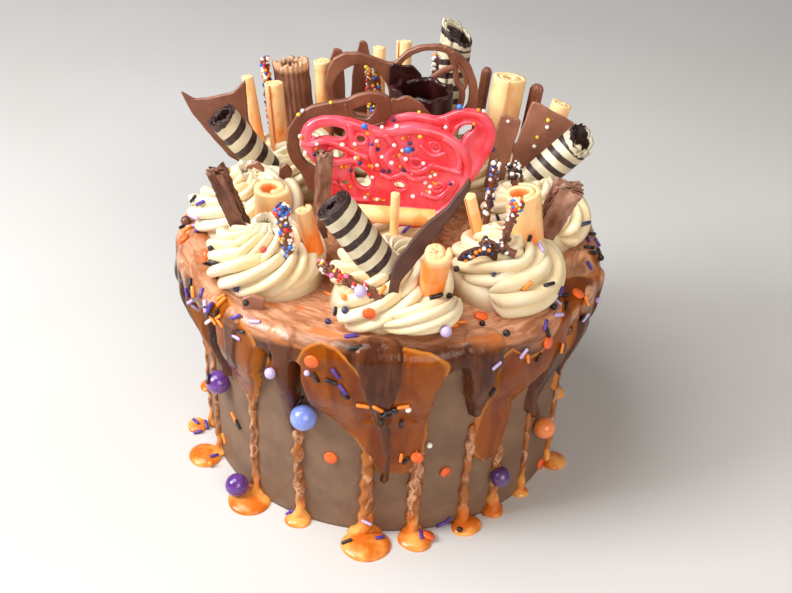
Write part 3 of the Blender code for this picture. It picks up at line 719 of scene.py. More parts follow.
def swirl(angle, away, radius, tall, begin, twist, seed):
    """A rope whose path winds in and climbs: its distance from the middle falls and its height grows
    with t, while the rope thins to a point. A mound fills the middle."""
    t = np.linspace(0, 1, 170)
    wind = math.radians(begin) + t * TURNS * 2 * math.pi
    rope = (ROPE - 4.4 * t) * (1 - eased((t - 0.93) / 0.07) * 0.96) * (1 + 0.12 * hills(t, 0, (14, 1), seed))
    rope *= eased(t / 0.03 + 0.3)
    reach = (radius - 10.6) * (1 - t ** 1.25) * (1 + 0.07 * hills(t, 0, (12, 1), seed + 9))
    rise = 8.4 + (tall - 9.4) * t ** 1.1 + 1.4 * eased((t - 0.93) / 0.07)
    a = math.radians(angle)
    middle = np.array([away * math.cos(a), away * math.sin(a), TOP - 0.6])
    path = middle + np.stack([reach * np.cos(wind), reach * np.sin(wind), rise], -1)
    spin = 0.5 + t * twist + 0.5 * hills(t, 0, (10, 1), seed + 30)
    grid = carried(star(84, 0.5), path, (0, 0, 1), rope, spin)
    grid[..., 2] = np.maximum(grid[..., 2], TOP - 0.9)
    r = np.linspace(0, 1, 9)[:, None]
    b = np.arange(32) / 32 * 2 * math.pi
    mound = np.stack([r * 24 * np.cos(b), r * 24 * np.sin(b), 17 * np.sqrt(1 - r ** 2 * 0.999) + 0 * b], -1)
    mound = mound * (radius / 29.5, radius / 29.5, 1) + middle
    base = np.broadcast_to(middle, (1,) + mound.shape[1:])
    parts = [skin(grid, loop_columns=True), skin(np.concatenate([mound, base]), loop_columns=True)]
    return together(parts)


def fold(path, wide, seed):
    """A short rope of cream with the same lobes, pointed at both ends."""
    path = curve(path, 0.8)
    t = np.linspace(0, 1, len(path))
    rope = wide * (0.25 + 0.75 * np.sin(t * math.pi) ** 0.6) * (1 + 0.08 * hills(t, 0, (6, 1), seed))
    grid = carried(star(56, 0.45), path, (0, 0, 1), rope, 0.6 + t * 2.2)
    grid[..., 2] = np.maximum(grid[..., 2], TOP - 0.9)
    return skin(grid, loop_columns=True)


def cream_finish():
    """Whipped vanilla cream: off-white, a little yellower in patches, matt, with light going in."""
    f = Finish("vanilla_cream")
    patch = f.noise(45, 3, 0.6)
    colour = f.blend(patch.step(0.35, 0.7), rgb(235, 223, 193), rgb(229, 207, 160))
    relief = f.bump(f.noise(700, 3, 0.6), 0.00015, 0.35)
    return f.done(Base_Color=colour, Roughness=0.42, Normal=relief, Subsurface_Weight=0.25,
                  Subsurface_Scale=0.002, Subsurface_Radius=(1.0, 0.75, 0.45))


FOLD = [(-6, -87, 120), (6, -90.5, 122), (16, -91, 124), (25, -86, 124), (29.5, -76, 123)]
cream = cream_finish()
for seed, (node, *numbers) in enumerate(CREAM_AT):
    shape = swirl(*numbers, seed)
    if node == "rosette_1":
        shape = together([shape, fold(FOLD, 7.0, 90)])
    dress(put(node.replace("rosette", "cream_swirl"), shape), cream, "cream", node)

# %% [markdown]
# ## Rolled things
# Wafer rolls and chocolate curls are both a thin sheet wound on itself, so both are a spiral outline
# drawn out along a straight line. The end shows the scroll without any extra work, and an uneven last
# row gives the broken edge.

# %% Rolling a sheet


def rolled(foot, tip, wide, sheet_thick, turns, loose=0.6, ragged=0.0, seed=0, begin=0.0, slant=(0, 0)):
    """A strip between an outer spiral and the same spiral one sheet further in. The first turn lies
    tight under itself, and later turns wind in faster, as far as loose says. Slant cuts the end so
    that it is lower at the front and at the right."""
    foot, length, axis, side, lift = axes_of(foot, tip)
    count, rows = int(40 * turns), max(12, int(length * 1.3))
    a = np.linspace(0, turns, count)
    outer = wide / 2 - (sheet_thick + 0.15) * np.minimum(a, 1) - (sheet_thick + loose) * np.maximum(a - 1, 0)
    outer = np.maximum(outer, sheet_thick * 1.1)
    inner = outer - sheet_thick
    taper = 0.35 + 0.65 * eased(a / 0.06) * eased((turns - a) / 0.06)
    middle = (outer + inner) / 2
    out, into = middle + (outer - middle) * taper, middle + (inner - middle) * taper
    r = np.concatenate([out, into[::-1]])
    turned = np.concatenate([a, a[::-1]]) * 2 * math.pi + begin
    t = np.linspace(0, 1, rows)[:, None]
    grow = 1 + 0.012 * hills(t * 0.9, turned / 7, (11, 5), seed)
    reach = t * length + np.clip((t - 0.86) / 0.14, 0, 1) * ragged * hills(turned / 9, 0, (60, 1), seed + 3)
    reach = reach + eased((t - 0.8) / 0.2) * r * (slant[0] * np.sin(turned) + slant[1] * np.cos(turned))
    grid = (foot + axis * reach[..., None] + side * (r * np.cos(turned) * grow)[..., None]
            + lift * (r * np.sin(turned) * grow)[..., None])
    points, faces = skin(grid, loop_columns=True)
    k = np.arange(count - 1)
    cap = np.stack([k, k + 1, 2 * count - 2 - k, 2 * count - 1 - k], -1)
    faces = np.concatenate([faces, cap[:, ::-1], cap + (rows - 1) * 2 * count])
    marks = {"length": (t * length + 0 * turned).ravel(), "round": (0 * t + turned / (2 * math.pi)).ravel(),
             "inner": np.tile(np.concatenate([np.zeros(count), np.ones(count)]), rows),
             "tipward": ((1 - t) * length + 0 * turned).ravel()}
    return (points, faces), marks


WAFERS = [   # node, foot, tip, width, turns, how ragged, mm from band to band, whether its end is dark
    ("wafer_roll_left", (-60, 26, 126), (-83, 20, 160), 16.5, 2.2, 1.0, 9, True),
    ("wafer_roll_front", (1, -72, 130), (-24, -72, 165), 17, 3.4, 0.35, 7.4, True),
    ("wafer_roll_right", (60, 11, 128), (89, 12, 159), 16.5, 1.5, 1.6, 6.8, False),
    ("wafer_roll_back", (26, 71, 126), (31, 83, 183), 18, 1.5, 0.9, 6.8, False)]
SLANTS = {"wafer_roll_back": (0.45, 0.5), "wafer_roll_right": (0.5, 0)}   # how steeply an end is torn
CURLS = [   # node, foot, tip, width, sheet, turns, looseness, fade in mm, orange from 0 to 1
    ("curl_left_thin", (-68, 53, 118), (-75, 56, 166), 7, 1.3, 2.0, 0.2, 30, 0.35),
    ("curl_left_tall", (-57, 43, 128), (-60, 46, 167), 10.5, 1.6, 2.2, 0.3, 34, 0.65),
    ("curl_back_left", (-36, 60, 126), (-38, 62, 173), 10.5, 1.6, 2.4, 0.3, 30, 0.5),
    ("curl_back_1", (-8, 68, 128), (-9, 77, 176), 8, 1.4, 2.0, 0.2, 30, 0.2),
    ("curl_back_2", (4, 67, 128), (4, 78, 179), 9, 1.4, 2.0, 0.3, 30, 0.1),
    ("curl_left_short", (-33, -51, 129), (-38, -52, 151), 9.5, 2.2, 1.6, 0.3, 14, 0.9),
    ("curl_front_thin", (2, -42, 130), (2, -42, 155), 5.5, 1.2, 1.8, 0.1, 26, 0.4),
    ("curl_right_thin", (41, -39, 129), (34, -40, 154), 6.6, 1.3, 1.8, 0.1, 26, 0.3),
    ("curl_flat", (20, -33, 138), (-17, -32, 139), 9, 1.5, 2.0, 0.2, 20, 0.3),
    ("curl_back_right", (52, 45, 126), (57, 50, 173), 19, 2.4, 2.0, 1.4, 36, 0.12),
    ("curl_far_right", (70, 38, 122), (82, 43, 163), 12.5, 1.8, 2.0, 0.6, 30, 0.25),
    ("curl_left_wide", (-54, -26, 128), (-54, -27, 148), 19, 3.2, 1.25, 0.4, 12, 0.55),
    ("curl_front", (16.8, -74, 123.5), (19, -88.3, 154.2), 13.5, 3.0, 1.9, 0.2, 5, 0.75),
    ("curl_right", (61, -42, 128), (56, -42, 158), 18, 2.2, 1.5, 1.0, 30, 0.5)]


def wafer_finish(name, dark_end):
    """Ivory wafer with dark bands that climb round it, dark and crumbly inside. The broken end is dark
    or ivory."""
    f = Finish(name)
    inner, wobble = f.mark("inner"), (f.noise(260, 2, 0.5) - 0.5) * 0.10
    climb = f.mark("bands") + f.mark("round") + wobble
    phase = climb.sum("FRACT", climb)
    band = phase.step(0.02, 0.06) * (1 - phase.step(0.46, 0.50))
    ivory = f.blend(f.noise(70, 3).step(0.35, 0.65), rgb(190, 178, 148), rgb(222, 212, 182))
    dark = f.blend(f.noise(400, 3).step(0.4, 0.7), rgb(42, 24, 22), rgb(74, 48, 42))
    tip = f.mark("tipward")
    edge = (1 - tip.step(0.6, 1.8)) * float(dark_end)
    colour = f.blend(band.sum("MAXIMUM", band, edge), ivory, dark)
    colour = f.blend(inner * (tip.step(0.8, 2.2) if not dark_end else 1.0), colour, dark)
    relief = f.bump(f.noise(900, 3, 0.6), 0.0002, 0.6)
    return f.done(Base_Color=colour, Roughness=0.5 - 0.25 * inner, Normal=relief)


def curl_finish(name, fade, orange):
    """Caramel chocolate, pale at the tip and more orange further down, as far as fade, in streaks and
    patches. A higher orange makes it redder and covers more."""
    f = Finish(name)
    tip, inner = f.mark("tipward"), f.mark("inner")
    streak = f.noise(160, 3, 0.6, (1, 1, 0.25), 0.8)
    pale, deep = rgb(255, 220, 162), rgb(254, 166 - 42 * orange, 78 - 54 * orange)
    patch = f.noise(110, 2, 0.5, (1, 1, 0.6))
    share = streak.step(0.3, 0.75) * 0.35 + 0.22 + 0.55 * orange
    share = share * (tip.step(fade * 0.1, fade) * 0.75 + 0.25)
    share = share + patch.step(0.5, 0.62) * tip.step(1.5, 5) * (0.25 + 0.3 * orange)
    colour = f.blend(share.sum("MINIMUM", share, 1.0), pale, deep)
    colour = f.blend(inner * tip.step(0.5, 2.5) * 0.8, colour, deep)
    relief = f.bump(streak, 0.0005, 0.5)
    return f.done(Base_Color=colour, Roughness=0.42, Normal=relief, Subsurface_Weight=0.1,
                  Subsurface_Scale=0.001)


# %% [markdown]
# ### Setting them in the cream
# The wafers and the curls differ only in their tables and finishes. The width from band to band is
# divided out of the length here, so that one finish serves wide bands and narrow ones.

# %% Rolls and curls
FRONT_BEGIN = 2.6      # the angle at which the front curl's sheet ends, in radians, so that its edge shows
wafers = {True: wafer_finish("striped_wafer", True), False: wafer_finish("pale_ended_wafer", False)}
for seed, (node, foot, tip, wide, turns, ragged, period, dark_end) in enumerate(WAFERS):
    shape, marks = rolled(foot, tip, wide, 1.2, turns, 0.55, ragged, seed, seed * 1.7,
                          SLANTS.get(node, (0, 0)))
    marks["bands"] = marks.pop("length") / period
    dress(put(node + "_rolled", shape, marks), wafers[dark_end], "wafer", node)
for seed, (node, foot, tip, wide, thick, turns, loose, fade, orange) in enumerate(CURLS):
    begin = FRONT_BEGIN if node == "curl_front" else seed * 2.3 + 3
    shape, marks = rolled(foot, tip, wide, thick, turns, loose, 0.2, seed + 40, begin)
    dress(put(node + "_rolled", shape, marks), curl_finish(node + "_caramel", fade, orange), "caramel", node)

# %% [markdown]
# ## Chocolate plates
# The upright shards were snapped from a thin sheet. Each is an outline with a narrow bevel carried
# round it as a profile, and flat faces between, so the broken edge catches the light.

# %% Plates


def smoothed(outline, step=1.2, round_off=1):
    """An outline in small even steps, its corners softened by averaging each point with its neighbours."""
    points = np.array(outline, float)
    closed = np.vstack([points, points[:1]])
    walk = np.concatenate([[0], np.cumsum(np.linalg.norm(np.diff(closed, axis=0), axis=1))])
    count = max(12, int(walk[-1] / step))
    at = np.linspace(0, walk[-1], count, endpoint=False)
    even = np.stack([np.interp(at, walk, closed[:, 0]), np.interp(at, walk, closed[:, 1])], -1)
    for _ in range(round_off):
        even = even * 0.5 + np.roll(even, 1, 0) * 0.25 + np.roll(even, -1, 0) * 0.25
    return even


def area(line):
    """Twice the area inside an outline, negative where it runs clockwise."""
    return np.sum(line[:, 0] * np.roll(line[:, 1], -1) - line[:, 1] * np.roll(line[:, 0], -1))


def leftward(line):
    """The direction to the left of an outline at each of its points, which is inward for a positive area."""
    ahead = unit(np.roll(line, -1, 0) - np.roll(line, 1, 0))
    return np.stack([-ahead[:, 1], ahead[:, 0]], -1)


LEAN_FROM = 133     # the height, in millimetres, above which a leaning plate leans


def plate(name, outlines, thick, y, lean=0.0, bevel=0.5, ragged=0.25, seed=0):
    """Walls round every outline, their corners cut at the bevel, and a flat face on both sides. Then
    the plate leans back above its foot."""
    rows = [(bevel, -thick / 2), (0, -thick / 2 + bevel), (0, thick / 2 - bevel), (bevel, thick / 2)]
    bm = bmesh.new()
    edges = [[], []]
    for number, outline in enumerate(outlines):
        line = smoothed(outline)
        if area(line) < 0:
            line = line[::-1]
        inward = leftward(line) * (1 if number == 0 else -1)
        count = len(line)
        rough = hills(np.arange(count) / count, 0, (count // 3, 1), seed)
        line = line + inward * ragged * rough[:, None]
        rings = []
        for step, depth in rows:
            flat = line + inward * step
            rings.append([bm.verts.new((px * MM, (y + depth) * MM, pz * MM)) for px, pz in flat])
        for low, high in zip(rings, rings[1:]):
            for index in range(len(low)):
                after = (index + 1) % len(low)
                bm.faces.new((low[index], low[after], high[after], high[index]))
        for side, loop in ((0, rings[0]), (1, rings[-1])):
            edges[side] += [bm.edges.get((loop[i], loop[(i + 1) % len(loop)])) for i in range(len(loop))]
    for side in edges:
        bmesh.ops.triangle_fill(bm, use_beauty=True, edges=side)
    bmesh.ops.recalc_face_normals(bm, faces=bm.faces)
    mesh = bpy.data.meshes.new(name)
    bm.to_mesh(mesh)
    bm.free()
    co = np.empty(len(mesh.vertices) * 3)
    mesh.vertices.foreach_get("co", co)
    co = co.reshape(-1, 3)
    co[:, 1] += np.maximum(co[:, 2] - LEAN_FROM * MM, 0) * math.sin(math.radians(lean))
    mesh.vertices.foreach_set("co", co.ravel())
    mesh.update()
    mesh.shade_flat()
    return placed(name, mesh)


PLATES = {   # node: outline (x, z), thickness, y, lean in degrees
    "plate_left": ([(-105, 165), (-98, 161), (-89, 163), (-80, 165), (-73, 172), (-72, 150), (-66, 136),
                    (-62, 121), (-70, 122), (-84, 132), (-94, 145), (-99, 152)], 2, 36.5, 0),
    "plate_front": ([(-0.5, 122), (3.5, 122), (4.6, 135.7), (8.7, 140.9), (14.1, 148), (20.2, 156.4),
                     (26.3, 164), (31.8, 173.6), (31.2, 176.9), (22.8, 165.8), (15, 159.8), (6.7, 149.6),
                     (4.2, 146.9), (1.2, 140.6), (0, 133)], 1.8, -84.5, 24),
    "plate_right": ([(46, 126), (55, 124), (58, 146), (61, 162), (51, 165), (48, 150)], 2, 24, 0),
    "plate_far_right": ([(58, 124), (66, 122), (75, 143), (88, 159), (66, 170), (60, 146)], 2, 29.5, 0),
    "plate_middle": ([(-2, 130), (18, 130), (19, 166), (12, 173.5), (7, 176.5), (4, 177), (1, 175),
                      (-2, 175.5)], 2, 13.5, 0),
    "plate_back_1": ([(-34, 128), (-24, 128), (-26.5, 158), (-27, 173), (-28.4, 176), (-32.3, 176.8),
                      (-33.8, 171), (-36, 160)], 2, 71, 0),
    "plate_back_2": ([(-24, 130), (-13.5, 130), (-13.6, 158), (-13.6, 172), (-16, 178.8), (-19.3, 179.2),
                      (-20.8, 172), (-23, 160)], 2, 76, 0)}


def chocolate_finish(name, low, high, rough=0.36):
    """Tempered chocolate: an even brown with a faint bloom."""
    f = Finish(name)
    cloud, grain = f.noise(70, 3, 0.6), f.noise(1100, 3, 0.6)
    colour = f.blend(cloud.step(0.3, 0.75), low, high)
    relief = f.bump(grain, 0.00016, 0.5, f.bump(cloud, 0.0006, 0.4))
    return f.done(Base_Color=colour, Roughness=rough + cloud * 0.1, Normal=relief)


chocolate = chocolate_finish("milk_chocolate", rgb(116, 66, 46), rgb(146, 92, 68))
# A paler copy of the milk chocolate for paler pieces; on the plates at the right its paler tone is painted
# light, where the light falls on them.
lit_pale_chocolate = chocolate_finish("lit_pale_milk_chocolate", rgb(144, 92, 70), rgb(176, 120, 96))
deep_chocolate = chocolate_finish("deep_milk_chocolate", rgb(58, 25, 11), rgb(88, 45, 25), 0.55)
dark_chocolate = chocolate_finish("dark_chocolate", rgb(36, 10, 10), rgb(58, 20, 18), 0.26)
for seed, (node, (outline, thick, y, lean)) in enumerate(PLATES.items()):
    piece = plate(node + "_shard", [outline], thick, y, lean, seed=seed)
    # the plates on the right take the paler copy, which paints on the light falling on them
    tone = deep_chocolate if lean else lit_pale_chocolate if "right" in node else chocolate
    dress(piece, tone, "chocolate", node)

# %% [markdown]
# ## Piped loops and lace
# Melted chocolate and pink candy were piped on paper as lines and lifted off when set. A line is a
# round outline, flat where it lay on the paper, carried along a closed path.

# %% Piping


def piped(line, wide, deep, y, closed=True, seed=0):
    """A line (x, z) as a tube facing the front, wide across and deep along y."""
    count = len(line)
    path = np.stack([line[:, 0], np.full(count, float(y)), line[:, 1]], -1)
    outline = ring(12) * (wide / 2, deep / 2)
    size = 1 + 0.07 * hills(np.arange(count) / count, 0, (max(6, count // 8), 1), seed)
    return skin(carried(outline, path, (0, 1, 0), size, closed=closed), loop_rows=closed, loop_columns=True)


BACK_LOOP = [
    [(-8, 126), (12, 126), (20, 134), (33, 143), (38.8, 149.3), (41.1, 153.8), (41.5, 163.1), (40.2, 169.1),
     (36.7, 177.4), (31.2, 183), (25.3, 186.4), (19, 187.4), (11.2, 186.4), (5.2, 183.8), (0.8, 179.5),
     (-0.8, 177.4), (-4.2, 177.2), (-11.1, 179.6), (-18.5, 181.7), (-25.8, 181.4), (-31.5, 178.2),
     (-34.3, 172.2), (-35.5, 164.9), (-33.8, 156.4), (-29.1, 149), (-18, 136)],
    [(-24.5, 150.5), (-28.5, 153.5), (-30.6, 160.2), (-30.9, 165.1), (-29.5, 168.8), (-26.3, 172.5),
     (-22.4, 174.9), (-17.8, 175.8), (-13.3, 175.1), (-9.8, 172.6), (-6.2, 168.5), (-3.8, 164.3),
     (-3.1, 158.9), (-6, 153), (-14, 149)],
    [(2.1, 176), (4.2, 178.8), (8.1, 181.9), (13.6, 184), (19.8, 184.3), (24.4, 183), (29.7, 179.6),
     (33.4, 174.9), (35.9, 168.9), (36.9, 162.9), (36.5, 156.7), (34.4, 152.9), (27, 148.7), (12, 149),
     (6, 156), (3, 166)]]
FRONT_LOOP = [
    [(-40, 130), (-24, 130), (-19, 145), (-15, 158), (-10.3, 164.8), (-5, 166.8), (-1.9, 169.7),
     (-1.3, 174.9), (-2.8, 179.6), (-7.6, 181.6), (-12.8, 181.6), (-18, 180.1), (-21.6, 178),
     (-29.4, 176.2), (-38, 174), (-45, 169.5), (-49.5, 161.5), (-50.5, 153), (-48.5, 146), (-44, 140)],
    [(-34, 141), (-40.5, 144.5), (-43.5, 149), (-44.4, 154), (-43.4, 159.6), (-39.8, 164.6), (-34.5, 168.5),
     (-28, 169.6), (-22, 165), (-21, 156), (-25, 147)],
    [(-19.4, 173), (-15.3, 174.4), (-11.6, 177), (-8.6, 176.2), (-9.6, 172), (-12.6, 168.4),
     (-17.8, 169.4)]]


def dressed_loop(name, outlines, y, lines, node):
    """The flat loop and the thin lines piped across it, all in chocolate."""
    piece = plate(name + "_band", outlines, 3.0, y, bevel=0.55, ragged=0.12)
    dress(piece, chocolate, "chocolate", node)
    piece = put(name + "_lines", together([piped(curve(line), wide, 2.2, y - 0.7, closed=False, seed=i)
                                           for i, (line, wide) in enumerate(lines)]))
    dress(piece, chocolate, "chocolate", node)


dressed_loop("loop_back", BACK_LOOP, 53, [
    ([(23, 186), (24.5, 185), (27.1, 181.1), (29, 175.3), (30.4, 168.7), (33, 164.6), (33.4, 159.1),
      (31.5, 150)], 3.2),
    ([(27, 184.5), (30.4, 177.7), (33.6, 173), (35, 167.7), (33.1, 163)], 2.0),
    ([(15.5, 160), (17.3, 168.7), (20.6, 172.2), (24, 174.4), (29.5, 176.5)], 3.4)], "loop_back")
dressed_loop("loop_front", FRONT_LOOP, 5, [
    ([(-22.7, 176), (-21.2, 170), (-17, 166.2), (-10.3, 165.4), (-4, 167.4)], 1.4),
    ([(-36, 142), (-31, 150), (-29, 160), (-30, 169)], 2.4)], "loop_front")

# %% [markdown]
# ### The pink lace
# The candy was flooded inside a piped rim and piped over again, with a few holes left open. So it is a
# flat sheet with holes, a thick line just inside its rim, a lip round each hole, and lines across it.

# %% Pink lace
LACE = [(-28, 128), (14, 127), (24, 133), (30, 140), (33.5, 148), (35.5, 156), (35.3, 161.5), (33, 167),
        (28.3, 171.9), (22.3, 175.5), (15.6, 177.8), (8.2, 178.4), (1.7, 177.5), (-3.5, 175.8),
        (-7.1, 175.9), (-12.3, 177.8), (-18.5, 180), (-24.6, 180.9), (-31.6, 180.6), (-36.8, 178.7),
        (-40.1, 175.2), (-41.5, 170.3), (-39, 163.1), (-35, 158.6), (-31, 155), (-30, 145)]
LACE_HOLES = [
    [(-36.9, 169.5), (-36.4, 173.3), (-32.5, 175.9), (-25.9, 176.6), (-20.6, 175.4), (-20.6, 171.3),
     (-24.6, 170.6), (-30.3, 171.4)],
    [(-17.1, 172.7), (-14, 173.3), (-11.3, 171), (-13.9, 168.5), (-16.6, 169.4)],
    [(-29.9, 164.9), (-24.5, 166.1), (-20.5, 163.9), (-21.4, 160.8), (-26.3, 160.6)],
    [(-17.3, 158.6), (-13.7, 156.8), (-10, 152.4), (-8.6, 148.4), (-11.7, 146.3), (-15.4, 148.2),
     (-17.3, 153.1)],
    [(16, 170.7), (19.1, 169.9), (21.1, 167), (18, 166.4)],
    [(-0.1, 151), (6.8, 150.2), (6.5, 146.7), (0.9, 147.3)],
    [(18.4, 149), (22.5, 150.8), (23.1, 148.2), (19.4, 146.4)],
    [(6.7, 161.3), (11.1, 162.4), (13.9, 159.9), (10, 158)]]
LACE_LINES = [   # piped over the sheet, and the width of each
    ([(-41, 168), (-36, 167.6), (-31.6, 169.2), (-26.3, 168.5), (-21, 166.3), (-16.5, 164), (-11.2, 162.3)],
     3.6),
    ([(-33, 158), (-27.6, 158.6), (-22.7, 159.4), (-17.4, 160.6), (-11.9, 157.3)], 3.4),
    ([(-19.3, 178.3), (-18.6, 172.2), (-18, 167)], 3.0),
    ([(-11.4, 176.8), (-8.8, 170.2), (-9.4, 164.3), (-6.6, 156.5)], 3.4),
    ([(-4, 174), (0, 168), (-3, 162), (1, 157)], 3.4),
    ([(11.7, 169.6), (15.3, 166), (18.5, 164.5), (23.3, 166.2)], 2.2),
    ([(3.3, 164), (5.3, 160), (8.6, 156.6), (13.1, 156.4), (17.5, 159.4), (23.4, 158.3), (30.7, 156.6)],
     3.2),
    ([(-5.6, 154.6), (-0.1, 152.8), (5.2, 155.1), (9.8, 152.2), (16, 154)], 2.8),
    ([(13.1, 145.4), (20.6, 143.6), (25.4, 147.8), (28, 152.4)], 2.8),
    ([(22, 173), (27, 169), (29.5, 163), (29.5, 158)], 2.6),
    ([(-28, 150), (-22, 148), (-19, 142), (-10, 141)], 3.0),
    ([(-22, 134), (-12, 138), (-2, 135), (8, 137), (18, 136)], 3.2)]
WING = [(6, 130), (34, 130), (40, 140), (44.4, 149), (46.8, 155.9), (47.9, 162.1), (45.9, 168),
        (41.7, 172.6), (36.4, 174.3), (30.5, 174.1), (25.1, 171.9), (21.1, 168.9), (14.5, 170.9),
        (7.1, 171.4), (-0.7, 169.6), (-6.7, 166.6), (-9.4, 163), (-4, 160), (3, 150)]
WING_HOLE = [(27.7, 159.7), (28.8, 164.3), (32.3, 167), (36.9, 167.7), (38.6, 165), (34, 163),
             (31.6, 159.6), (32.4, 154.8), (30, 155.4)]


def inset(outline, by):
    """The outline moved inward by a few millimetres, along each point's normal."""
    line = smoothed(outline, 1.5, 6)
    return line + leftward(line) * np.sign(area(line)) * by


def candy_finish():
    """Candy melt: a glossy strawberry red, clouded with a paler pink."""
    f = Finish("pink_candy")
    cloud = f.noise(80, 3, 0.6)
    colour = f.blend(cloud.step(0.35, 0.65), rgb(250, 60, 74), rgb(252, 104, 122))
    relief = f.bump(f.noise(500, 2), 0.0002, 0.4)
    return f.done(Base_Color=colour, Roughness=0.25, Normal=relief, Coat_Weight=0.3, Coat_Roughness=0.15)


def pink_lace():
    """The rim of the lace, a lip round each hole, and the lines over it."""
    y = -21.5
    rows = [piped(inset(LACE, 2.0), 4.8, 4.4, y - 0.4, seed=11)]
    rows += [piped(inset(hole, -1.1), 2.0, 3.0, y - 0.7, seed=12 + i) for i, hole in enumerate(LACE_HOLES)]
    rows += [piped(curve(line), wide, 3.6, y - 1.2, closed=False, seed=20 + i)
             for i, (line, wide) in enumerate(LACE_LINES)]
    return rows


candy = candy_finish()
backing = plate("lace_front_sheet", [LACE] + LACE_HOLES, 2.6, -21.3, bevel=0.7, ragged=0.1)
dress(backing, candy, "pink", "lace_front")
dress(put("lace_front_piping", together(pink_lace())), candy, "pink", "lace_front")
wing_rows = [
    piped(inset(WING, 2.0), 4.8, 4.2, 6.6, seed=31),
    piped(inset(WING_HOLE, -1.2), 2.4, 3.4, 6.0, seed=32),
    piped(curve([(24, 170), (24.5, 164), (27, 156), (30, 150)]), 3.0, 3.6, 6.0, closed=False, seed=33),
    piped(curve([(-6, 164), (2, 166), (12, 166), (22, 163)]), 3.2, 3.6, 6.0, closed=False, seed=34)]
dress(put("lace_back_piping", together(wing_rows)), candy, "pink", "lace_back")
wing_sheet = plate("lace_back_sheet", [WING, WING_HOLE], 2.4, 7, bevel=0.7, ragged=0.1)
dress(wing_sheet, candy, "pink", "lace_back")

# %% [markdown]
# ## Flakes
# A flake bar is thin sheets of chocolate folded against each other, and it breaks into ragged layers.
# It is drawn as ruffled strips side by side, so the layers show at its sides and ends.

# %% Flakes
FLAKES = [   # node, foot, tip, width
    ("flake_left", (-64, -40, 128), (-76, -40, 162), 8),
    ("flake_middle", (-32.5, -28, 124), (-30, -27.5, 165), 7),
    ("flake_right", (67, -31, 126), (78, -33, 157), 10)]


SHEETS_IN_A_FLAKE, SHEET_THICK = 6, 0.56     # how many, and millimetres


def strip(foot, axis, side, lift, length, wide, offset, seed, spread=0.0):
    """A thin sheet along the axis: it waves from side to side, its edges are uneven, and its two faces
    are its thickness apart."""
    t = np.linspace(0, 1, 30)[:, None]
    s = np.linspace(-1, 1, 13)[None]
    wave = 0.9 * hills(t * 0.9, (s + 1) / 2.2, (9, 5), seed) + 0.7 * np.sin(s * 3 + seed)
    across = s * wide / 2 * (1 + spread * t + 0.14 * hills(t, s * 0, (17, 2), seed + 1))
    reach = t * length * (1 + 0.05 * hills(s / 2.5 + 0.5, 0, (7, 1), seed + 2))
    face = (foot + axis * reach[..., None] + side * across[..., None]
            + lift * (offset * (1 + spread * t) + wave)[..., None])
    grid = np.concatenate([face + lift * (SHEET_THICK / 2), (face - lift * (SHEET_THICK / 2))[:, ::-1]], 1)
    ends = [np.repeat(row.mean(0)[None, None], grid.shape[1], 1) for row in (grid[0], grid[-1])]
    return skin(np.concatenate([ends[0], grid, ends[1]]), loop_columns=True)


def flake(foot, tip, wide, seed, spread=0.0):
    """Sheets side by side, the middle ones the widest, as in a round bar."""
    foot, length, axis, side, lift = axes_of(foot, tip)
    offsets = np.linspace(-0.36, 0.36, SHEETS_IN_A_FLAKE) * wide
    widths = wide * np.sqrt(1 - (offsets / wide / 0.62) ** 2)
    return together([strip(foot, axis, side, lift, length, w, o, seed + i, spread)
                     for i, (o, w) in enumerate(zip(offsets, widths))])


flaky = chocolate_finish("flaked_chocolate", rgb(84, 46, 32), rgb(142, 92, 68), 0.5)
pale_flaky = chocolate_finish("pale_flaked_chocolate", rgb(120, 76, 56), rgb(196, 148, 124), 0.55)
for seed, (node, foot, tip, wide) in enumerate(FLAKES):
    shape = flake(foot, tip, wide, 70 + seed * 9, spread=0.35 if node == "flake_right" else 0.05)
    dress(put(node + "_sheets", shape), flaky if node == "flake_left" else pale_flaky, "chocolate", node)

# %% [markdown]
# ### Fluted things
# A cup of chocolate was set in a pleated case, and a ridged stick was pushed through a star nozzle.
# Both are a circle with waves on it: the cup's has a second skin inside, and the stick's is full.

# %% Cups and sticks


def fluted(foot, tip, wide, flutes, depth, wall=None, ragged=0.0, seed=0):
    """A rippled outline along a line. With a wall it is a cup: outside up, over the ragged lip, inside
    down to a floor."""
    foot, tip = np.array(foot, float), np.array(tip, float)
    count = flutes * 8
    outline = ring(count, flutes, depth)
    t = np.linspace(0, 1, 40)
    path, size = foot + (tip - foot) * t[:, None], np.full(40, wide / 2)
    size = size * (1 + 0.03 * hills(t, 0, (8, 1), seed))
    if wall is None:
        size = size * (0.55 + 0.45 * eased((1 - t) / 0.04))
    grid = carried(outline, path, NEARLY_Y, size)
    if wall is not None:
        down = np.linspace(1, 0.18, 24)
        inner = carried(outline, foot + (tip - foot) * down[:, None], (0, -1, -0.01), wide / 2 - wall)
        inner = np.roll(inner[1:, ::-1], 1, 1)
        shift = ragged * hills(np.arange(count) / count, 0, (count // 3, 1), seed + 1)[None, :, None]
        axis = unit(tip - foot)
        grid, inner = grid[:-1].copy(), inner.copy()
        grid[-4:] += axis * shift
        inner[:3] += axis * shift
        grid = np.concatenate([grid, inner])
    return skin(grid, loop_columns=True)


def case_finish():
    """Milk chocolate that turns pale at the broken lip."""
    f = Finish("ridged_case")
    grain = f.noise(240, 3, 0.6, (1, 1, 0.3))
    colour = f.blend(grain.step(0.3, 0.7), rgb(88, 50, 36), rgb(134, 86, 62))
    colour = f.blend(f.mark("lip"), colour, rgb(206, 160, 124))
    return f.done(Base_Color=colour, Roughness=0.5, Normal=f.bump(grain, 0.0003, 0.5))


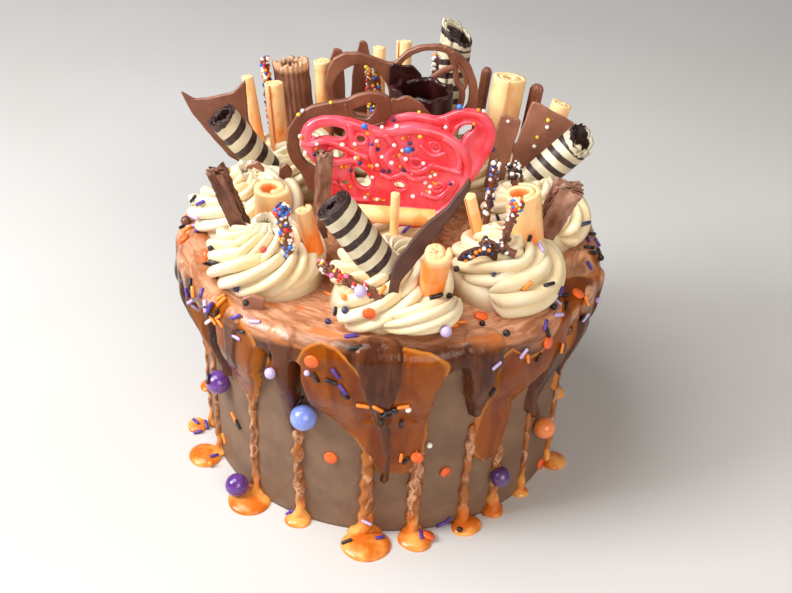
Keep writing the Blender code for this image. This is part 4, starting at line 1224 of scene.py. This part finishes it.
cup = fluted((13, 34, 126), (13, 33, 172), 30, 7, 0.09, 2.4, 1.2, 3)
dress(put("cup_back_fluted", cup), dark_chocolate, "dark", "cup_back")
case = fluted((-49, 60, 124), (-54, 67, 170), 18, 22, 0.03, 2.2, 1.6, 4)
case_piece = put("cup_left_fluted", case, {"lip": eased((case[0][:, 2] - 166.5) / 2.5)}, merge=False)
dress(case_piece, case_finish(), "chocolate", "cup_left")
for node, foot, tip, wide in [("ridged_stick_back", (42, 60, 128), (46, 64, 172), 5),
                              ("ridged_stick_right", (66, 50, 124), (71, 54, 168), 6.5)]:
    dress(put(node + "_ridged", fluted(foot, tip, wide, 8, 0.1, seed=8)), chocolate, "chocolate", node)

# %% [markdown]
# ## Beads and sprinkles
# Hundreds of sugar beads need one cheap shape each: a ball or a rod of a few dozen faces. Numpy copies
# the shape to every place at once, and each copy carries its colour as a value of its points.

# %% Copies of a small shape
WHITE, RED, ORANGE, YELLOW = rgb(250, 246, 238), rgb(214, 60, 50), rgb(250, 140, 44), rgb(255, 214, 70)
BLUE, GREEN, PINK, BLACK = rgb(66, 120, 214), rgb(70, 160, 96), rgb(240, 120, 160), rgb(34, 26, 30)
PURPLE, LILAC, BROWN, NAVY = rgb(84, 58, 150), rgb(196, 178, 226), rgb(112, 66, 46), rgb(48, 52, 96)
TANGERINE, GOLD = rgb(242, 104, 40), rgb(214, 160, 90)


def turned_shape(width, height, columns):
    """A small shape turned about z, of radius 1 and half height 1, from its widths at its heights."""
    width, height = np.array(width)[:, None], np.array(height)[:, None]
    u = np.arange(columns) / columns * 2 * math.pi
    points = np.stack([width * np.cos(u), width * np.sin(u), height + 0 * u], -1)
    return skin(points, loop_columns=True)


BANDS = np.linspace(0, math.pi, 7)
BALL = turned_shape(np.sin(BANDS), np.cos(BANDS), 8)
ROD = turned_shape([0, 0.7, 1, 1, 0.7, 0], [-1, -0.96, -0.8, 0.8, 0.96, 1], 7)
SWEET = turned_shape([0, 0.88, 1, 0.88, 0], [-1, -1, 0, 1, 1], 12)


def copies(shape, places, axes, sizes, colours):
    """The shape at every place, its z along the axis and its size (wide, wide, long). One that would
    reach under the floor is lifted onto it."""
    places, axes, sizes = (np.asarray(part, float).reshape(-1, 3) for part in (places, axes, sizes))
    axes = unit(axes)
    helper = np.where(np.abs(axes[:, 2:]) < 0.9, [[0.0, 0, 1]], [[1.0, 0, 0]])
    side = unit(np.cross(axes, helper))
    lift = np.cross(axes, side)
    local = shape[0][None] * sizes[:, None]
    points = places[:, None] + (local[..., :1] * side[:, None] + local[..., 1:2] * lift[:, None]
                                + local[..., 2:] * axes[:, None])
    points[..., 2] += np.clip(0.02 - points[..., 2].min(1), 0, None)[:, None]
    faces = shape[1][None] + (np.arange(len(places)) * len(shape[0]))[:, None, None]
    tint = np.repeat(np.c_[np.array(colours), np.ones(len(colours))], len(shape[0]), 0)
    return (points.reshape(-1, 3), faces.reshape(-1, 4)), tint


def sugar_finish(name, rough):
    """Coloured sugar: each bead has its own colour, a fine grain and a soft shine."""
    f = Finish(name)
    relief = f.bump(f.noise(2200, 2), 0.00008, 0.5)
    return f.done(Base_Color=f.mark("tint", 0), Roughness=rough, Normal=relief)


sugar = sugar_finish("coloured_sugar", 0.3)

# %% [markdown]
# ### Sticks rolled in beads
# A dipped stick picks up beads wherever it is wet, so they are scattered over it at random and leave
# its foot bare. Two of the sticks end in a ball that is covered all over.

# %% Beaded sticks
STICKS = [   # node, foot, tip, width, palette
    ("beaded_stick_left", (-62, 60, 124), (-67, 64, 173), 5, (WHITE, BLUE, RED, ORANGE, NAVY, BROWN)),
    ("beaded_stick_front_left", (-43, -58, 128), (-46, -58, 153), 6.5,
     (BLUE, WHITE, RED, ORANGE, GOLD, WHITE)),
    ("beaded_stick_front", (-2, -87, 130), (-30, -76, 139), 5, (RED, WHITE, BROWN, YELLOW, BROWN, PINK)),
    ("beaded_stick_back_1", (-9, 59.5, 130), (-12, 60, 172), 8, (WHITE, RED, ORANGE, BLUE, YELLOW, WHITE)),
    ("beaded_stick_back_2", (17, 58, 130), (20, 60, 179), 4.5, (WHITE, ORANGE, WHITE, NAVY)),
    ("beaded_stick_right_1", (47, -55, 131), (53, -54, 158), 5, (BROWN, WHITE, BROWN)),
    ("beaded_stick_right_2", (54, -61, 138), (39, -57, 142), 5, (BROWN, BLACK, WHITE, BROWN, BLACK)),
    ("beaded_stick_right_3", (44, -22, 130), (46, -22, 162), 4.5, (BROWN, WHITE, NAVY, BLUE, WHITE)),
    ("beaded_stick_right_4", (62, -6, 134), (56, 2, 150), 7, (BLACK, WHITE, WHITE, BLACK))]


BEADS_TO_A_SQUARE = 0.6      # beads for each square millimetre of a stick's outline


def beaded(foot, tip, wide, palette, seed):
    """A chocolate rod, and beads scattered over it: their places, their sizes and their colours."""
    random = np.random.default_rng(seed)
    foot, length, axis, side, lift = axes_of(foot, tip, NEARLY_Y)
    t = np.linspace(0, 1, 24)
    size = (wide / 2 - 0.7) * (0.4 + 0.6 * eased((1 - t) / 0.06)) * (1 + 0.08 * hills(t, 0, (9, 1), seed))
    core = skin(carried(ring(14), foot + axis * length * t[:, None], NEARLY_Y, size), loop_columns=True)
    count = int(length * wide * BEADS_TO_A_SQUARE)
    reach = random.uniform(0.15, 1.0, count)
    around = random.uniform(0, 2 * math.pi, count)
    bead = random.choice([0.75, 0.95, 1.25], count, p=[0.4, 0.4, 0.2])
    away = wide / 2 - 0.75
    places = (foot + axis * length * reach[:, None]
              + (side * np.cos(around)[:, None] + lift * np.sin(around)[:, None]) * away)
    colours = np.array(palette)[random.integers(0, len(palette), count)]
    return core, (places, bead, colours)


def beaded_head(middle, wide, palette, seed):
    """A ball of chocolate at a stick's tip with beads spread evenly over it by the golden angle."""
    count, golden = 44, 2.39996
    v = np.arccos(1 - 2 * (np.arange(count) + 0.5) / count)
    u = np.arange(count) * golden
    out = np.stack([np.sin(v) * np.cos(u), np.sin(v) * np.sin(u), np.cos(v)], -1)
    core = BALL[0] * (wide / 2 - 0.6) + middle, BALL[1]
    random = np.random.default_rng(seed)
    colours = np.array(palette)[random.integers(0, len(palette), count)]
    return core, (out * (wide / 2 - 0.7) + middle, random.choice([0.8, 1.0], count), colours)


# The sticks that end in a ball, with its width and palette.
HEADS = {"beaded_stick_right_1": (7, (BLUE, YELLOW, RED, ORANGE, WHITE, BROWN)),
         "beaded_stick_front_left": (7.6, (BLUE, WHITE, NAVY, BLUE, WHITE, RED))}
for seed, (node, foot, tip, wide, palette) in enumerate(STICKS):
    core, (places, sizes, colours) = beaded(foot, tip, wide, palette, 200 + seed)
    if node in HEADS:
        head, extra = beaded_head(tip, *HEADS[node], 300 + seed)
        core = together([core, head])
        places, sizes, colours = (np.concatenate(pair) for pair in zip((places, sizes, colours), extra))
    beads, tint = copies(BALL, places, np.tile((0, 0, 1.0), (len(places), 1)),
                         np.repeat(sizes[:, None], 3, 1), colours)
    brown = np.tile((*BROWN, 1.0), (len(core[0]), 1))
    piece = put(node + "_beads", together([core, beads]), {"tint": np.vstack([brown, tint])})
    dress(piece, sugar, "beaded", node)

# %% [markdown]
# ### Large pearls
# Polished sugar pearls were pressed into the glaze and onto the foot. They are big enough to count as
# pieces of their own, and to show their round highlights.

# %% Sugar pearls
PEARLS = [   # node, slot, angle, height, width, how far its middle stands off the wall, colour
    ("pearl_wall_purple", "pearl_purple", 214.5, 57, 11.5, 4, (96, 48, 132)),
    ("pearl_wall_blue", "pearl_blue", 248.5, 67, 12, 4.5, (120, 140, 222)),
    ("pearl_low_purple", "pearl_purple", 226, 8, 11.5, 9, (84, 36, 120)),
    ("pearl_dark", "pearl_purple", 306, 25, 10, 4.5, (70, 34, 96)),
    ("pearl_orange", "pearl_orange", 323.5, 39, 10.6, 5, (236, 128, 62))]


def pearl(angle, height, wide, out):
    """A ball with faint dents, as sugar pearls have from their tumbling."""
    a = math.radians(angle)
    v, u = np.linspace(0, math.pi, 33)[:, None], np.arange(48) / 48 * 2 * math.pi
    r = wide / 2 * (1 + 0.006 * hills(u / (2 * math.pi), v / 4, (9, 7), int(angle)))
    middle = np.array([(WALL + out) * math.cos(a), (WALL + out) * math.sin(a), height])
    grid = middle + np.stack([r * np.sin(v) * np.cos(u), r * np.sin(v) * np.sin(u), r * np.cos(v)], -1)
    return skin(grid, loop_columns=True)


def pearl_finish(name, colour):
    """One colour with a paler bloom, under a clear polished coat."""
    f = Finish(name)
    bloom = f.noise(300, 3)
    paler = rgb(*(min(255, part + 50) for part in colour))
    tone = f.blend(bloom.step(0.35, 0.7) * 0.35, rgb(*colour), paler)
    return f.done(Base_Color=tone, Roughness=0.2 + bloom * 0.1, Coat_Weight=0.5, Coat_Roughness=0.08)


for node, slot, *numbers, colour in PEARLS:
    dress(put(node + "_ball", pearl(*numbers)), pearl_finish(node + "_sugar", colour), slot, node)

# %% [markdown]
# ## Shards and crumbs
# A few broken bits lie against the cream. They are plates like the others, only smaller.

# %% Shards
SHARDS = [   # name, outline (x, z), thickness, y, finish
    ("shard_left", [(-71, 124), (-60, 124), (-59.2, 137), (-64.2, 144.5), (-70.5, 141)], 1.8, 6,
     lit_pale_chocolate),
    ("chip_left", [(-55, 128), (-50, 128), (-48, 138), (-51.3, 141.5), (-54.7, 138.7)], 1.6, 10, chocolate),
    ("shard_cup", [(-3, 140), (12, 140), (13, 173), (7.6, 178.2), (1.7, 177.6), (-2.2, 179.2), (-3.6, 176)],
     1.8, 48, dark_chocolate),
    ("shard_front", [(28.6, 134.5), (33.5, 134.4), (37.5, 137), (42, 137.6), (46, 134), (46.4, 139),
                     (43, 141.6), (36.5, 141.6), (31, 139.2)], 1.8, -62, deep_chocolate),
    ("shard_low", [(-62, 113), (-53, 113), (-52.4, 120), (-57.6, 121.4), (-62.6, 119.4)], 2.0, -74.5,
     lit_pale_chocolate)]
for seed, (name, outline, thick, y, tone) in enumerate(SHARDS):
    piece = plate(name, [outline], thick, y, seed=seed + 40)
    dress(piece, tone, "dark" if tone is dark_chocolate else "chocolate")

# %% [markdown]
# ## Sprinkles
# Sprinkles fall where they like, so the ones in view are put back by sight: a line from the camera
# through a place in the picture meets the nearest piece, and the sprinkle lies there, against the
# surface. The back of the cake gets its own by chance, dropped on the rim and thrown at the wall.

# %% Finding the surface
SHOWN = [item for item in bpy.context.scene.objects if item.type == "MESH" and not item.hide_render]
TREES = [BVHTree.FromObject(item, bpy.context.evaluated_depsgraph_get()) for item in SHOWN]
VIEW = bpy.context.scene.camera.matrix_world.copy()
print("pieces that can carry a sprinkle:", len(TREES))


def first_hit(origin, ahead):
    """The nearest spot where a line meets a piece, and the way the surface faces there."""
    hits = [tree.ray_cast(origin, ahead) for tree in TREES]
    hits = [hit for hit in hits if hit[0] is not None]
    if not hits:
        return None
    spot, facing, _, _ = min(hits, key=lambda hit: hit[3])
    return spot, facing if facing.dot(ahead) < 0 else -facing


def sight(px, py):
    """The camera's line through a pixel: as far across and down as it is from the centre, over the
    focal length."""
    ahead = Vector(((px - CENTRE[0]) / FOCUS, (CENTRE[1] - py) / FOCUS, -1)).normalized()
    return VIEW.translation, VIEW.to_3x3() @ ahead


def lying(slant, facing):
    """The direction in the surface that the picture shows at that slant."""
    flat = VIEW.to_3x3() @ Vector((math.cos(math.radians(slant)), math.sin(math.radians(slant)), 0))
    return (flat - facing * flat.dot(facing)).normalized()


# %% [markdown]
# ### The places
# The tables give each kind's places by colour, as pixels of the picture, and for rods the slant at
# which the picture shows them. Rods lie flat on the surface, and flat sweets lie on their faces.

# %% Where they lie
JIMMIES = {   # colour: (pixel across, pixel down, slant in degrees)
    "K": [(209, 263, -20), (215, 262, 10), (191, 284, 100), (217, 313, 45), (241, 331, 5), (215, 335, 90),
        (336, 312, 90), (356, 348, 15), (331, 381, -15), (316, 377, -70), (299, 400, 40), (345, 395, -50),
        (386, 415, 30), (381, 422, 85), (209, 379, -75), (207, 395, 20), (196, 355, 80), (202, 405, 60),
        (589, 248, 10), (563, 296, 30), (547, 332, -50), (529, 240, 80), (436, 295, 12),
        (499, 219, -60), (587, 198, 60), (581, 319, 60), (549, 285, 30), (194, 199, 30), (538, 357, 60),
        (558, 369, -80), (492, 392, -75), (401, 423, -85), (389, 411, 10), (570, 414, 70), (202, 409, 60),
        (239, 424, -70), (347, 542, 20), (406, 460, 60), (556, 300, -40), (566, 306, 70)],
    "O": [(194, 292, -70), (219, 317, 20), (214, 320, -30), (221, 323, -30), (222, 302, 35), (221, 298, 30),
        (328, 295, -55), (363, 405, -15), (378, 408, -50), (192, 337, 85), (197, 363, 80), (235, 417, -60),
        (225, 438, -70), (527, 285, 65), (461, 323, 10), (452, 327, 30), (586, 301, -60), (382, 291, 60),
        (527, 358, -60), (403, 406, 10), (561, 348, 80), (401, 457, 85), (561, 428, 88)],
    "P": [(188, 293, 85), (202, 293, 80), (210, 307, 60), (236, 317, 15), (351, 337, 25), (336, 373, -70),
        (343, 389, -60), (189, 383, 15), (196, 422, -60), (206, 425, 80), (198, 432, 15), (196, 441, 0),
        (206, 438, 80), (589, 266, 88), (560, 291, 35), (545, 325, 60), (406, 229, 50), (201, 203, 20),
        (214, 456, 35), (291, 513, -15), (380, 538, 40), (421, 535, 85), (441, 524, 20), (447, 520, 60),
        (445, 526, -20)],
    "L": [(192, 300, 40), (196, 307, -50), (206, 306, -80), (255, 322, -10), (237, 337, -5),
        (557, 302, -70), (558, 315, 10), (541, 248, -75), (585, 317, 60), (194, 216, 10), (192, 227, 20),
        (523, 353, 50), (496, 365, 35), (194, 446, 60), (367, 522, -25)],
    "W": [(209, 320, 55)],
    "N": [(207, 310, -80), (585, 224, 20), (495, 274, 85)]}
BALLS = {   # colour: (pixel across, pixel down)
    "N": [(238, 289), (328, 323), (346, 312)],
    "K": [(246, 302), (553, 308), (506, 334), (482, 325), (448, 296), (458, 268), (212, 247), (395, 409),
        (460, 530)],
    "O": [(345, 298), (210, 464)],
    "L": [(308, 372), (597, 299)],
    "R": [(263, 249)],
    "P": [(197, 232)],
    "W": [(408, 408), (429, 444)],
    "U": [(364, 127), (408, 149), (460, 109)]}
BIG_BALLS = {
    "L": [(364, 290), (273, 372), (444, 329), (528, 483)],
    "B": [(569, 328)]}
NONPAREILS = {
    "W": [(301, 136), (303, 111), (314, 133), (317, 144), (306, 152), (342, 145), (354, 144), (356, 157),
        (382, 128), (397, 127), (394, 145), (376, 141), (402, 150), (405, 159), (383, 157), (377, 165),
        (391, 163), (411, 174), (372, 177), (365, 198), (377, 199), (413, 196), (423, 163), (430, 176),
        (435, 174), (425, 182), (430, 186), (429, 193), (446, 127), (483, 112), (508, 121), (547, 127),
        (534, 146), (470, 256), (484, 249)],
    "O": [(316, 148), (302, 137), (354, 149), (358, 157), (368, 133), (403, 138), (377, 145), (400, 156),
        (369, 165), (373, 166), (400, 166), (346, 166), (341, 166), (368, 194), (350, 186), (374, 199),
        (380, 199), (384, 200), (432, 171), (433, 182), (436, 184), (427, 191), (478, 111), (474, 124),
        (466, 260), (476, 252), (480, 250), (489, 250), (473, 256)],
    "Y": [(299, 115), (419, 113), (420, 136), (331, 103), (548, 120), (537, 137)],
    "N": [(314, 154), (394, 120), (378, 149), (413, 149), (404, 171), (389, 171), (383, 172), (360, 163),
        (352, 170), (451, 184), (493, 149), (410, 143),
        (464, 256), (468, 257), (471, 253), (478, 254), (482, 252), (486, 251), (492, 253), (487, 247)],
    "R": [(409, 137), (339, 182)],
    "G": [(345, 182), (356, 177)],
    "P": [(372, 144)],
    "C": [(313, 138), (466, 127)]}
ORANGE_SWEETS = [
    (205, 256), (312, 361), (196, 385), (577, 294), (481, 317), (547, 342), (369, 313), (331, 457),
    (417, 457), (445, 471), (394, 534), (428, 536), (539, 466), (557, 444)]
SUGARS = {
    "K": BLACK, "O": ORANGE, "P": PURPLE, "L": LILAC, "W": WHITE, "N": NAVY, "Y": YELLOW, "R": RED,
    "G": GREEN, "U": BLUE, "C": PINK, "B": BROWN, "T": TANGERINE}


HALF = (-12, 192)     # the angles of the half that the picture doesn't show


def scattered(seed, count):
    """Lines that meet the back half of the cake: down on the rim, and inward at the wall, more of them
    high on it than low."""
    random = np.random.default_rng(seed)
    for _ in range(count):
        a = math.radians(random.uniform(*HALF))
        away = Vector((math.cos(a), math.sin(a), 0))
        if random.random() < 0.6:
            yield away * random.uniform(0.09, 0.1015) + Vector((0, 0, 0.3)), Vector((0, 0, -1)), random
        else:
            yield away * 0.2 + Vector((0, 0, random.triangular(0.01, 0.104, 0.104))), -away, random


RIM_TOP = 0.122     # metres; what lies higher is cream or a decoration


def sprinkle(name, shape, seen, thrown, size, sink, upright=False):
    """Every sprinkle of one kind as one mesh: those seen, and as many as were thrown at the back and
    landed no higher than the rim. Upright ones stand on their flat side."""
    random = np.random.default_rng(len(name))
    rows = []
    for letter, places in seen.items():
        for px, py, *slant in places:
            hit = first_hit(*sight(px, py))
            if hit:
                rows.append((hit, lying(slant[0] if slant else random.uniform(0, 180), hit[1]), letter))
    letters = [letter for letter, places in seen.items() for _ in places]
    for origin, ahead, chance in scattered(len(name), thrown):
        hit = first_hit(origin, ahead)
        if hit and hit[0].z < RIM_TOP:
            rows.append((hit, lying(chance.uniform(0, 180), hit[1]), letters[chance.integers(len(letters))]))
    facing = np.array([hit[1] for hit, _, _ in rows])
    places = np.array([hit[0] for hit, _, _ in rows]) / MM + facing * sink
    axes = np.array([axis for _, axis, _ in rows])
    if upright:
        axes = facing + random.normal(0, 0.16, facing.shape)
    sizes = np.array(size) * random.uniform(0.88, 1.12, (len(rows), 1))
    shape, tint = copies(shape, places, axes, sizes, [SUGARS[letter] for _, _, letter in rows])
    print(name, len(rows))
    return dress(put(name, shape, {"tint": tint}), sugar, "beaded")


sprinkle("jimmies", ROD, JIMMIES, 90, (0.85, 0.85, 2.7), 0.55)
sprinkle("small_balls", BALL, BALLS, 26, (1.5, 1.5, 1.5), 0.9)
sprinkle("nonpareils", BALL, NONPAREILS, 0, (0.95, 0.95, 0.95), 0.5)
sprinkle("orange_sweets", SWEET, {"T": ORANGE_SWEETS}, 16, (3.1, 3.1, 0.8), 0.5, True)
sprinkle("sugar_pearls_small", BALL, BIG_BALLS, 4, (2.5, 2.5, 2.5), 1.7)

# %% [markdown]
# ## Floor and light
# A pale floor and three soft lights stand in for the studio: a cool, hard one high on the left that
# casts the shadow, a broad one above, and a broad warm one at the front right that fills it.

# %% Studio


def studio():
    """The floor, the lights as name, place, width, power and tint, and a dim even sky."""
    a = np.array([[[-900, -900, 0], [900, -900, 0]], [[-900, 1400, 0], [900, 1400, 0]]], float)
    floor = put("studio_floor", skin(a))
    f = Finish("pale_floor")
    tone = f.blend(f.noise(3, 2).step(0.3, 0.7), rgb(198, 195, 190), rgb(204, 201, 197))
    floor.data.materials.append(f.done(Base_Color=tone, Roughness=0.55))
    for name, place, size, power, tint in [("key", (-1.05, -0.3, 0.85), 0.5, 18, (0.94, 0.97, 1)),
                                           ("top", (-0.5, -0.1, 1.15), 0.7, 11, (1, 1, 1)),
                                           ("front", (0.5, -1.15, 0.8), 0.9, 11.5, (1, 0.88, 0.76))]:
        data = bpy.data.lights.new(name, "AREA")
        data.size, data.energy, data.color = size, power, tint
        lamp = bpy.data.objects.new(name, data)
        lamp.location = place
        lamp.rotation_euler = (Vector((0, 0, 0.1)) - lamp.location).to_track_quat("-Z", "Y").to_euler()
        bpy.context.scene.collection.objects.link(lamp)
    world = bpy.data.worlds.new("studio")
    bpy.context.scene.world = world
    world.use_nodes = True
    world.node_tree.nodes["Background"].inputs[0].default_value = (0.95, 0.96, 1, 1)
    world.node_tree.nodes["Background"].inputs[1].default_value = 0.25
    bpy.context.scene.view_settings.view_transform = "Standard"


studio()
